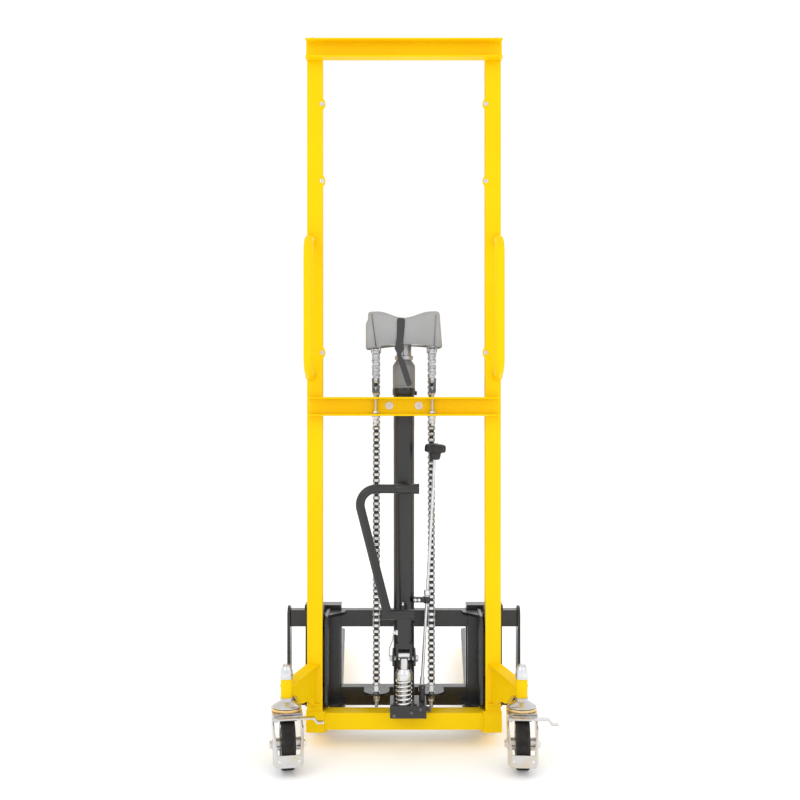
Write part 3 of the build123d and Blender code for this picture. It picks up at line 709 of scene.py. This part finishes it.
def crosshead_cover():
    """The hood: a moulded shell with rounded rims, two humps, a dip between them and an arched lower edge."""
    low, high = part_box("crosshead_cover")
    rim, corner = 0.011, 0.013
    dip_half, dip_depth = 0.07, 0.0165
    top = high.z - 0.004
    foot = low.z - 0.001
    half_top, half_foot = high.x - 0.007, high.x - 0.001
    shoulder = [
        (-half_foot, foot), (-half_foot, foot + 0.064), (-half_top, foot + 0.076),
        (-half_top, top - 0.001)
    ]
    dip = []
    for i in range(25):
        x = dip_half * (i / 12 - 1)
        dip.append((x, top - dip_depth * (0.5 + 0.5 * cos(pi * x / dip_half))))
    right = [(half_top - 0.001, top + 0.001), (half_top + 0.001, top - 0.03), (half_foot, foot + 0.004)]
    over = arc_points([*shoulder, *dip, *right], corner)
    normals = []
    for i, point in enumerate(over):
        along = over[min(i + 1, len(over) - 1)] - over[max(i - 1, 0)]
        normals.append(Vector((along.y, -along.x)).normalized())
    steps = 6
    rear = [(0.0, rim + 0.0012)]
    for turn in range(steps + 1):
        angle = pi / 2 * turn / steps
        rear.append((rim * (1 - cos(angle)), rim * (1 - sin(angle))))
    rings = [(low.y + depth, inset) for depth, inset in rear]
    rings += [(high.y - depth, inset) for depth, inset in reversed(rear)]
    shape = Shape()
    verts = []
    for y, inset in rings:
        for point, normal in zip(over, normals):
            inside = point + normal * inset
            verts.append((inside.x, y, inside.y))
    n = len(over)
    faces = []
    for k in range(len(rings) - 1):
        for i in range(n - 1):
            faces.append([k * n + i, k * n + i + 1, (k + 1) * n + i + 1, (k + 1) * n + i])
    for end in (0, len(rings) - 1):
        first, last = Vector(verts[end * n]), Vector(verts[end * n + n - 1])
        under = [end * n]
        for i in range(1, n - 1):
            share = i / (n - 1)
            under.append(len(verts))
            verts.append(first.lerp(last, share) + Z_AXIS * 0.032 * share * (1 - share))
        under.append(end * n + n - 1)
        for i in range(n - 1):
            corners = [end * n + i, end * n + i + 1, under[i + 1], under[i]]
            faces.append(list(dict.fromkeys(corners)))
    shape.add(verts, faces)
    # The hood's grey is partly painted reflection of the unbuilt clear guard's sheen.
    made = shape.make("hood", "ram", "cover_grey")
    face_outwards(made)
    wall = made.modifiers.new("wall", "SOLIDIFY")
    wall.thickness = 0.0024
    wall.offset = -1.0
    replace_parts(made, "crosshead_cover")


def dark_streak():
    """A dark woven band down the hood's rear face, gathered at its lower edge, then hanging free: painted shade,
    standing for a dark streak where the sheen of a clear guard in front breaks. It is not a part of the machine.
    """
    low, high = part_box("cover_strap")
    y = low.y
    stations = [
        (-0.0075, high.z + 0.0005, 0.0105, 0.0058),
        (-0.008, high.z - 0.006, 0.0105, 0.0012),
        (-0.0085, high.z - 0.03, 0.0098, 0.001),
        (-0.0105, high.z - 0.055, 0.0092, 0.001),
        (-0.0125, high.z - 0.072, 0.009, 0.001),
        (-0.012, high.z - 0.08, 0.015, 0.0004),
        (-0.0125, high.z - 0.087, 0.009, 0.0016),
        (-0.0125, high.z - 0.096, 0.0052, 0.003),
        (-0.011, high.z - 0.106, 0.006, 0.003),
        (-0.006, high.z - 0.116, 0.0078, 0.0014),
        (0.001, high.z - 0.136, 0.0082, 0.0004),
        (0.008, high.z - 0.158, 0.008, 0.0012),
        (0.013, high.z - 0.173, 0.0076, 0.0006),
        (0.0165, low.z, 0.0074, 0.0002),
    ]
    thick = 0.0013
    shape = Shape()
    verts, faces = [], []
    columns = 7
    for k, (x, z, half, out) in enumerate(stations):
        following = stations[min(k + 1, len(stations) - 1)]
        before = stations[max(k - 1, 0)]
        along = Vector((following[0] - before[0], 0, following[1] - before[1])).normalized()
        across = Vector((-along.z, 0, along.x))
        for side in (0, 1):
            for i in range(columns):
                share = 2 * i / (columns - 1) - 1
                cup = 0.001 * (1 - share * share)
                place = Vector((x, y + out - cup + side * thick + 0.0016, z)) + across * half * share
                verts.append(place)
    row = 2 * columns
    for k in range(len(stations) - 1):
        a, b = k * row, (k + 1) * row
        for i in range(columns - 1):
            faces.append([a + i, a + i + 1, b + i + 1, b + i])
            faces.append([a + columns + i + 1, a + columns + i, b + columns + i, b + columns + i + 1])
        faces.append([a, b, b + columns, a + columns])
        faces.append([a + columns - 1, a + 2 * columns - 1, b + 2 * columns - 1, b + columns - 1])
    faces.append([i for i in range(columns)][::-1] + [columns + i for i in range(columns)])
    end = (len(stations) - 1) * row
    faces.append([end + i for i in range(columns)] + [end + columns + i for i in range(columns)][::-1])
    shape.add(verts, faces)
    # The dark band: painted shade where the clear guard's sheen breaks.
    made = shape.make("dark_streak", "ram", "webbing")
    soft = made.modifiers.new("soft", "SUBSURF")
    soft.levels = soft.render_levels = 2
    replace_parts(made, "cover_strap")


# ---- cylinder and ram

def cylinder_details():
    """Gland with its chamfered shoulder, the dark collar below it, and the ram's wiper and snap ring."""
    low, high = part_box("cylinder_gland")
    middle = (low + high) / 2
    base = Vector((middle.x, middle.y, low.z))
    tall = high.z - low.z
    bore, outer = 0.01805, (high.x - low.x) / 2
    gland = lathe(Shape(), base, Z_AXIS, [
        (bore, 0.0), (outer - 0.0008, 0.0), (outer, 0.0008), (outer, 0.005), (outer - 0.0009, 0.0056),
        (outer - 0.0009, 0.0066), (outer, 0.0072), (outer, tall - 0.015), (outer - 0.001, tall - 0.0132),
        (outer - 0.008, tall - 0.0024), (outer - 0.0098, tall), (bore, tall),
    ], 96, closed=True)
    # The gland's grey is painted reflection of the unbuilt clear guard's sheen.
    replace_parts(gland.make("gland", "chassis", "gland_grey"), "cylinder_gland")

    collar = lathe(Shape(), base, Z_AXIS, [
        (0.0281, -0.0195), (0.03, -0.019), (0.0308, -0.017), (0.0308, -0.003), (0.03, -0.0006),
        (0.0281, -0.0004),
    ], 96, closed=True)
    rounded_bar(collar, base + Vector((0.032, -0.002, -0.0135)), X_AXIS, 0.0058, 0.006, 0.0012, 20)
    collar.make("cylinder_collar", "chassis", "black_paint")

    rings = lathe(Shape(), base + Vector((0, 0, tall)), Z_AXIS, [
        (0.0181, -0.002), (0.0205, -0.002), (0.0198, 0.0006), (0.0182, 0.0009),
    ], 72, closed=True)
    rings.make("rod_wiper", "chassis", "knob_plastic")

    snap = lathe(Shape(), base + Vector((0, 0, tall)), Z_AXIS, [
        (0.0199, 0.0108), (0.0216, 0.011), (0.022, 0.0118), (0.0216, 0.0126), (0.0199, 0.0128),
    ], 72, closed=True)
    snap.make("sleeve_ring", "ram", "bright_steel", "chrome_plate")


def washer_and_bolt(place, axis, washer, head, socket):
    """A domed washer with a socket head on it, as one shape."""
    shape = lathe(Shape(), place, axis, [
        (0.002, 0.0), (washer - 0.0004, 0.0), (washer, 0.0006), (washer * 0.94, 0.0016),
        (washer * 0.6, 0.0021), (0.002, 0.0022),
    ], 48, closed=True)
    top = Vector(place) + Vector(axis).normalized() * 0.002
    lathe(shape, top, axis, [
        (head, 0.0), (head, 0.003), (head * 0.86, 0.004), (socket, 0.0041), (socket * 0.92, 0.0016),
        (0.0004, 0.0014),
    ], 24)
    return shape


def frame_fasteners():
    """Screws of the frame: white washers on the middle crossbar, tab screws, and the top bolts."""
    rear = Vector((0, -1, 0))
    low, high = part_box("mid_crossbar")
    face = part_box("cylinder_clamp")[0].y - 0.005
    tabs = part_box("mast_upright_right")[0].x + 0.009
    washers, screws = Shape(), Shape()
    for side in SIDES.values():
        place = Vector((side * BAR_BOLT_X, face, (low.z + high.z) / 2 + 0.002))
        made = washer_and_bolt(place, rear, 0.0108, 0.0044, 0.0022)
        washers.add(made.verts, made.faces)
        for height in TAB_SCREW_HEIGHTS:
            made = washer_and_bolt((side * tabs, 0.0, height), rear, 0.0062, 0.0042, 0.0018)
            screws.add(made.verts, made.faces)
        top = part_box("top_crossbar")[1].z
        made = washer_and_bolt((side * TOP_BOLT_X, TOP_BOLT_Y, top), Z_AXIS, 0.009, 0.0058, 0.0028)
        screws.add(made.verts, made.faces)
    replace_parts(washers.make("crossbar_bolts", "chassis", "white_zinc", "zinc"), "frame_fasteners")
    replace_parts(screws.make("frame_screws", "chassis", "zinc"), "frame_fasteners")


# ---- chain anchors

def soft_block(shape, low, high, edge=0.0012):
    """A block with chamfered edges, between its lowest and highest corners."""
    low, high = Vector(low), Vector(high)
    rings = []
    for z, inset in ((low.z, edge), (low.z + edge, 0.0), (high.z - edge, 0.0), (high.z, edge)):
        x0, x1, y0, y1 = low.x + inset, high.x - inset, low.y + inset, high.y - inset
        c = edge * 0.8
        rings.append([(x0 + c, y0, z), (x1 - c, y0, z), (x1, y0 + c, z), (x1, y1 - c, z),
                      (x1 - c, y1, z), (x0 + c, y1, z), (x0, y1 - c, z), (x0, y0 + c, z)])
    verts = [v for corners in rings for v in corners]
    return shape.add(verts, caps(4, 8) + bands(4, 8))


def upper_anchors():
    """Threaded rods through the middle crossbar, with their nuts, washers and forked end links."""
    low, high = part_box("chain_anchors_upper")
    bar_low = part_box("mid_crossbar")[0]
    rods, forks = Shape(), Shape()
    y = (low.y + high.y) / 2
    for name in SIDES:
        x = middle(f"pulley_{name}").x
        rod_top = high.z - 0.022
        thread(rods, (x, y, (low.z + rod_top) / 2), Z_AXIS, 0.0043, rod_top - low.z)
        for foot, tall, radius in (
            (bar_low.z - 0.0098, 0.0072, 0.0088),
            (bar_low.z - 0.0165, 0.0056, 0.0088),
            (bar_low.z + 0.0062, 0.007, 0.0082),
        ):
            prism(rods, (x, y, foot), Z_AXIS, radius, tall, turn=0.3)
        ring(rods, (x, y, bar_low.z - 0.0026), Z_AXIS, 0.0045, 0.0106, 0.0022, 32)
        for cheek in (-1, 1):
            at = x + cheek * 0.007
            soft_block(
                forks, (at - 0.0024, y - 0.0068, rod_top - 0.01),
                (at + 0.0024, y + 0.0068, high.z + 0.003), 0.001
            )
        soft_block(
            forks, (x - 0.0094, y - 0.0068, rod_top - 0.014), (x + 0.0094, y + 0.0068, rod_top - 0.007),
            0.0014
        )
        rounded_bar(rods, (x, y, high.z - 0.004), X_AXIS, 0.003, 0.0206, 0.0006, 16)
    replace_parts(rods.make("anchor_rods_upper", "chassis", "zinc"), "chain_anchors_upper")
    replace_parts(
        forks.make("anchor_forks_upper", "chassis", "dark_steel", "chain_steel"), "chain_anchors_upper"
    )


def lower_anchors():
    """Bright threaded rods, nuts and end links on the ears of the lower beam."""
    low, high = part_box("chain_anchors_lower")
    shape = Shape()
    y = middle("chain_front").y
    for name in SIDES:
        x = middle(f"pulley_{name}").x
        thread(shape, (x, y, (low.z + EAR_TOP) / 2 - 0.0005), Z_AXIS, 0.005, EAR_TOP - low.z - 0.004)
        prism(shape, (x, y, 0.1157), Z_AXIS, 0.0094, 0.0096, turn=0.25)
        prism(shape, (x, y, 0.1085), Z_AXIS, 0.0082, 0.006, turn=0.55)
        ring(shape, (x, y, EAR_TOP), Z_AXIS, 0.002, 0.01, 0.0018, 28)
        soft_block(
            shape, (x - 0.0074, y - 0.0054, EAR_TOP + 0.0016),
            (x + 0.0074, y + 0.0054, high.z + 0.0015), 0.002
        )
        rounded_bar(shape, (x, y, high.z - 0.003), X_AXIS, 0.0032, 0.0208, 0.0006, 16)
    shape.make("anchor_rods_lower", "carriage", "zinc")


# ---- pump and lever details

def lever_details():
    """The link from the lever to its pivot, the lubrication nipple, the grip's rims and the pivot's nuts."""
    y = LEVER_Y
    bright = Shape()
    prism(bright, (-0.0158, y, LINK_PIN_Z), -X_AXIS, 0.0072, 0.0062, turn=0.2)
    lathe(
        bright, (-0.022, y, LINK_PIN_Z), -X_AXIS,
        [(0.0046, 0.0), (0.0062, 0.0014), (0.0062, 0.005), (0.0044, 0.0066)], 28
    )
    tube(
        bright,
        [
            (-0.029, y, 0.318), (-0.03, y + 0.002, 0.3), (-0.0385, y + 0.014, 0.275),
            (-0.0392, y + 0.022, 0.252)
        ],
        0.0019, 14
    )
    lathe(
        bright, (-0.003, y, NIPPLE_Z), Z_AXIS,
        [
            (0.003, 0.0), (0.003, 0.0046), (0.0017, 0.0056), (0.0017, 0.007), (0.0023, 0.008),
            (0.0012, 0.0096)
        ],
        20
    )
    bright.make("lever_link", "lever", "bright_steel", "chrome_plate")

    rims = Shape()
    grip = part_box("pump_lever")[1].z - 0.0135
    for x, wide in ((0.0385, 0.003), (-0.022, 0.0024)):
        lathe(
            rims, (x - wide / 2, y, grip), X_AXIS,
            [(0.0118, 0.0), (0.0139, 0.0004), (0.0143, wide / 2), (0.0139, wide - 0.0004), (0.0118, wide)],
            40
        )
    for x in (0.0262, -0.0582):
        lathe(
            rims, (x - 0.0012, y, GRIP_BEND_Z), X_AXIS,
            [(0.01, 0.0), (0.0138, 0.0004), (0.014, 0.0012), (0.0138, 0.0022), (0.01, 0.0026)], 40
        )
    rims.make("lever_rims", "lever", "black_paint")

    pin_low, pin_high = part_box("lever_pivot_pin")
    centre = (pin_low + pin_high) / 2
    nuts = Shape()
    for side in SIDES.values():
        axis = X_AXIS * side
        face = (side * (pin_high.x - 0.0052), centre.y, centre.z)
        prism(nuts, face, axis, 0.0092, 0.005, turn=0.1)
        lathe(
            nuts, (side * (pin_high.x - 0.0004), centre.y, centre.z), axis,
            [(0.0056, 0.0), (0.0052, 0.0014), (0.003, 0.0022)], 24
        )
    nuts.make("pivot_nuts", "chassis", "zinc")


def pump_details():
    """Plugs, screws and the filler on the pump's body, and the rod's guide nuts."""
    low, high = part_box("pump_block")
    dark, bright = Shape(), Shape()
    rear = Vector((0, -1, 0))
    for x, z in ((0.0195, 0.112), (0.043, 0.121), (-0.026, 0.104)):
        prism(dark, (x, low.y + 0.0004, z), rear, 0.0048, 0.0028, turn=0.4)
    for x in (-0.029, 0.029, 0.045):
        prism(dark, (x, -0.041, 0.13), Z_AXIS, 0.0048, 0.0034, turn=0.2)
    prism(dark, (high.x - 0.003, -0.008, 0.11), X_AXIS, 0.0082, 0.0052)
    lathe(
        dark, (0.048, 0.01, 0.16), Z_AXIS,
        [(0.004, 0.0), (0.0086, 0.0), (0.0092, 0.001), (0.0092, 0.007), (0.007, 0.0086), (0.004, 0.0088)],
        32
    )
    dark.make("pump_plugs", "chassis", "dark_steel", "black_paint")

    guide_low, guide_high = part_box("release_bracket")
    x = guide_high.x - 0.009
    lathe(
        bright, (x, 0.01, guide_high.z - 0.0004), Z_AXIS,
        [(0.0054, 0.0), (0.0088, 0.0), (0.009, 0.0022), (0.0054, 0.0024)], 32, closed=True
    )
    for along in (0.03, 0.04):
        prism(bright, (along, guide_low.y + 0.0165, guide_low.z + 0.009), rear, 0.0042, 0.003, turn=0.3)
        prism(bright, (along, 0.0042, guide_low.z + 0.009), rear, 0.0046, 0.0034, turn=0.6)
    bright.make("guide_screws", "chassis", "zinc")


def release_knob():
    """The lobed knob, domed and hollowed between its lobes, on a tapering hub."""
    axis = Vector(RELEASE_ROD).normalized()
    top = Vector(KNOB_PLACE)
    u, v = basis(axis)
    profile = [(0.1, -0.0195), (0.3, -0.0195), (0.44, -0.0185), (0.5, -0.016), (0.56, -0.006), (0.6, -0.001),
               (0.86, 0.0000), (0.97, 0.0022), (1.0, 0.006), (1.0, 0.014), (0.96, 0.0185), (0.84, 0.0215),
               (0.6, 0.0228), (0.3, 0.0232), (0.02, 0.0234)]
    sides, lobes = 128, 8
    verts = []
    for share, height in profile:
        swell = max(0.0, (share - 0.5) / 0.5)
        for i in range(sides):
            angle = 2 * pi * i / sides
            wave = 0.5 + 0.5 * cos(lobes * angle)
            radius = KNOB_RADIUS * share * (1 - 0.13 * swell * (1 - wave ** 0.7))
            verts.append(top + axis * height + (u * cos(angle) + v * sin(angle)) * radius)
    faces = caps(len(profile), sides) + bands(len(profile), sides)
    made = Shape().add(verts, faces).make("lobed_knob", "release", "knob_plastic")
    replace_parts(made, "release_knob")
    cap = lathe(
        Shape(), top + axis * 0.023, axis,
        [(0.008, 0.0), (0.008, 0.001), (0.0066, 0.0016), (0.001, 0.0017)], 40
    )
    cap.make("knob_cap", "release", "dark_steel", "knob_plastic")


# ---- wheels and rollers

def roller_size(node):
    """A roller's centre, half width and outer radius."""
    low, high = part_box(node)
    return (low + high) / 2, (high.x - low.x) / 2, (high.z - low.z) / 2


def mirrored(profile):
    """A profile with its mirror image, so that a turned piece has the same face on both sides."""
    return profile + [(radius, -height) for radius, height in reversed(profile)]


def mast_rollers():
    """Sealed mast rollers: the race, its recessed seal and the inner ring."""
    bore, chamfer, recess = 0.01206, 0.0022, 0.0014
    for place in ("lower", "upper"):
        for name in SIDES:
            node = f"mast_roller_{place}_{name}"
            centre, half, outer = roller_size(node)
            profile = mirrored([
                (bore, -half), (0.017, -half), (0.0174, -half + recess), (0.0262, -half + recess),
                (0.0268, -half), (outer - chamfer, -half), (outer, -half + chamfer),
            ])
            roller = lathe(Shape(), centre, X_AXIS, profile, 72, closed=True)
            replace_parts(roller.make(f"{node}_race", node, "dark_steel", "chain_steel"), node)


def load_rollers():
    """Nylon load rollers with a pressed hub and bearing."""
    bore, hub = 0.00806, 0.019
    for name in SIDES:
        node = f"load_roller_{name}"
        centre, half, outer = roller_size(node)
        tread = lathe(Shape(), centre, X_AXIS, mirrored([
            (hub, -half), (outer - 0.004, -half), (outer - 0.001, -half + 0.0014), (outer, -half + 0.0042),
        ]), 96, closed=True)
        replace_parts(tread.make(f"{node}_tread", node, "nylon"), node)
        bearing = lathe(Shape(), centre, X_AXIS, mirrored([
            (bore, -half), (0.0116, -half), (0.012, -half + 0.001), (0.0168, -half + 0.001),
            (0.0172, -half + 0.0002), (0.0189, -half + 0.0002),
        ]), 64, closed=True)
        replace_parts(bearing.make(f"{node}_bearing", node, "bright_steel", "chrome_plate"), node)


# ---- casters

def joint(name):
    """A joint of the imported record."""
    return next(entry for entry in frame["joints"] if entry["name"] == name)


def turned(shape, name):
    """Moves a shape onto a caster. It is built about the kingpin: X across the wheel, -Y along its trail."""
    pin = Vector((*joint(f"caster_swivel_{name}")["pos_m"][:2], 0))
    across = Vector(joint(f"caster_wheel_turn_{name}")["axis"]).normalized()
    ahead = Vector((-across.y, across.x, 0))
    shape.verts = [pin + across * v.x + ahead * v.y + Z_AXIS * v.z for v in shape.verts]
    return shape


def caster_wheels():
    """Ribbed rubber treads, and on each hub a disc with its raised boss and the axle's nut."""
    for name in SIDES:
        low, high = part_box(f"caster_tyre_{name}")
        outer = (high.z - low.z) / 2
        centre = Vector((0, WHEEL_TRAIL, (high.z + low.z) / 2))
        half, inner = WHEEL_HALF, outer - 0.016
        profile = [(inner, -half), (outer - 0.006, -half), (outer - 0.0022, -half + 0.0016)]
        start, wide = -half + 0.0046, (2 * half - 0.0092) / RIBS
        for i in range(RIBS):
            at = start + i * wide
            profile += [(outer - 0.0011, at), (outer, at + wide * 0.22), (outer, at + wide * 0.72)]
            profile += [(outer - 0.0011, at + wide * 0.94)]
        profile += [(outer - 0.0022, half - 0.0016), (outer - 0.006, half), (inner, half)]
        tread = turned(lathe(Shape(), centre, X_AXIS, profile, 128, closed=True), name)
        made = tread.make(f"caster_tread_{name}", f"caster_wheel_{name}", "tread_rubber")
        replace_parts(made, f"caster_tyre_{name}")
        discs, nut = Shape(), Shape()
        for end in SIDES.values():
            face = centre + X_AXIS * end * (half - 0.0134)
            lathe(discs, face, X_AXIS * end, [
                (0.016, 0.0), (0.042, 0.0), (0.0414, 0.0012), (0.03, 0.0022), (0.018, 0.0052),
                (0.016, 0.0052),
            ], 72, closed=True)
            cheek = centre + X_AXIS * end * (CHEEK_FACE - 0.0001)
            ring(nut, cheek, X_AXIS * end, 0.004, 0.0128, 0.0014, 36)
        made = turned(discs, name).make(
            f"caster_disc_{name}", f"caster_wheel_{name}", "zinc", "chrome_plate"
        )
        prism(nut, centre + X_AXIS * CHEEK_FACE, X_AXIS, 0.0098, 0.0062, turn=0.35)
        end_of_axle = [(0.006, 0), (0.0058, 0.0022), (0.0046, 0.003)]
        lathe(nut, centre + X_AXIS * (CHEEK_FACE + 0.0058), X_AXIS, end_of_axle, 24)
        turned(nut, name).make(f"axle_nut_{name}", f"caster_{name}", "bright_steel", "chrome_plate")


def caster_tops():
    """Each caster's bearing ring, kingpin nut, brake shoe, pedal lip and toe rivets."""
    for name in SIDES:
        race = lathe(Shape(), (0, 0, RING_FOOT), Z_AXIS, [
            (0.0316, 0.0), (0.0372, 0.0), (0.0384, 0.0012), (0.0384, 0.0046), (0.0366, 0.0068),
            (0.0316, 0.0072),
        ], 96, closed=True)
        turned(race, name).make(f"swivel_ring_{name}", f"caster_{name}", "gold", "chrome_plate")
        nut = lathe(Shape(), (0, 0, NUT_FOOT), Z_AXIS, [
            (0.0151, 0.0), (0.0163, 0.0008), (0.0165, 0.0052), (0.016, 0.006),
            (0.016, 0.0072), (0.0165, 0.008), (0.0163, 0.0118), (0.0151, 0.0124),
        ], 64, closed=True)
        lathe(nut, (0, 0, DOME_FOOT), Z_AXIS, [
            (0.0162, 0.0), (0.016, 0.006), (0.0146, 0.012), (0.0118, 0.019), (0.008, 0.0232),
            (0.001, 0.0245),
        ], 64)
        turned(nut, name).make(f"kingpin_nut_{name}", "chassis", "zinc", "chrome_plate")

        shoe = soft_block(Shape(), (-0.0215, -0.0655, 0.129), (0.0215, -0.0555, 0.1309), 0.0008)
        turned(shoe, name).make(f"brake_shoe_{name}", f"brake_{name}", "dark_steel", "chain_steel")
        lip = tube(Shape(), [(0.0868, -0.0655, 0.121), (0.0868, -0.0475, 0.121)], 0.0028, 14)
        turned(lip, name).make(f"pedal_lip_{name}", f"brake_{name}", "bright_steel", "chrome_plate")

        rivets = Shape()
        for at in (-0.024, 0.024):
            lathe(
                rivets, (at, TOE_FACE, 0.042), (0, -1, 0),
                [(0.0034, 0), (0.0032, 0.001), (0.0018, 0.0018)], 20
            )
        turned(rivets, name).make(f"toe_rivets_{name}", f"caster_{name}", "bright_steel", "chrome_plate")


# ---- handles and edges

def handle_feet():
    """A weld ring round each end of the push handles."""
    shape = Shape()
    for name in SIDES:
        low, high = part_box(f"push_handle_{name}")
        x = (low.x + high.x) / 2
        half_tube = 0.0125
        for z in (low.z + half_tube, high.z - half_tube):
            points, radii = [], []
            for i in range(49):
                angle = 2 * pi * i / 48
                points.append((x + 0.0128 * cos(angle), -0.0006, z + 0.014 * sin(angle)))
                radii.append(0.0024 * (0.88 + 0.12 * abs(sin(4 * angle))))
            tube(shape, points, radii, 10, closed_ends=False)
    shape.make("handle_welds", "chassis", "yellow_paint")


EDGES = {
    0.003: ["mast_upright", "leg"],
    0.0022: ["top_crossbar", "mid_crossbar", "base_crossbar", "crosshead"],
    0.0016: ["fork", "carriage_upper_beam", "carriage_lower_beam", "carriage_end_plates"],
    0.001: [
        "caster_bracket", "roller_plate", "cylinder_clamp", "pump_block", "release_bracket", "pump_lever",
        "chain_anchors_lower", "caster_yoke", "brake_pedal", "pump_plunger", "caster_kingpins",
        "load_roller_axles", "pulley",
    ],
}


def soften_edges():
    """Rounds the real edges of the visible CAD pieces."""
    for width, stems in EDGES.items():
        for stem in stems:
            for node in [stem] if stem in NODES else [f"{stem}_{name}" for name in SIDES]:
                soften(node, width)


# ---- studio

def studio():
    """Pale floor, white surround, and soft lights; and the camera behind the mast."""
    floor = piece(
        "floor", [(-30, -30, 0), (30, -30, 0), (30, 30, 0), (-30, 30, 0)], [[0, 1, 2, 3]], smooth=False
    )
    m = Maker("floor_paint")
    m.link(m.ramp(m.noise(0.8, 2.0), [(0.3, 0.96), (0.7, 0.97)]), m.shader.inputs["Base Color"])
    m.set(Roughness=0.7, Specular_IOR_Level=0.2, Emission_Strength=0.18)
    m.shader.inputs["Emission Color"].default_value = (1.0, 1.0, 1.0, 1.0)
    floor.data.materials.append(m.material)
    world = bpy.data.worlds.new("studio")
    bpy.context.scene.world = world
    world.use_nodes = True
    world.node_tree.nodes["Background"].inputs[0].default_value = (1.0, 1.0, 1.0, 1.0)
    world.node_tree.nodes["Background"].inputs[1].default_value = 1.04
    lights = {
        "key": ((-2.6, -3.4, 3.6), 2.4, 20.0),
        "fill": ((2.8, -3.0, 2.6), 2.6, 9.0),
        "front": ((1.5, 4.0, 3.0), 2.5, 20.0),
    }
    for name, (place, size, power) in lights.items():
        data = bpy.data.lights.new(name, "AREA")
        data.shape = "DISK"
        data.size = size
        data.energy = power
        light = bpy.data.objects.new(name, data)
        light.location = place
        light.rotation_euler = (Vector((0, 0.2, 0.8)) - Vector(place)).to_track_quat("-Z", "Y").to_euler()
        bpy.context.scene.collection.objects.link(light)
    data = bpy.data.cameras.new("camera")
    data.sensor_width = SENSOR
    data.lens = CAMERA_LENS
    camera = bpy.data.objects.new("camera", data)
    camera.location = CAMERA_PLACE
    camera.rotation_euler = (pi / 2, 0, 0)
    bpy.context.scene.collection.objects.link(camera)
    bpy.context.scene.camera = camera
    bpy.context.scene.view_settings.view_transform = "Standard"


dress_cad()
chains()
crosshead_cover()
dark_streak()
cylinder_details()
frame_fasteners()
upper_anchors()
lower_anchors()
return_spring()
lever_details()
pump_details()
release_knob()
mast_rollers()
load_rollers()
caster_wheels()
caster_tops()
frame_welds()
handle_feet()
soften_edges()
studio()
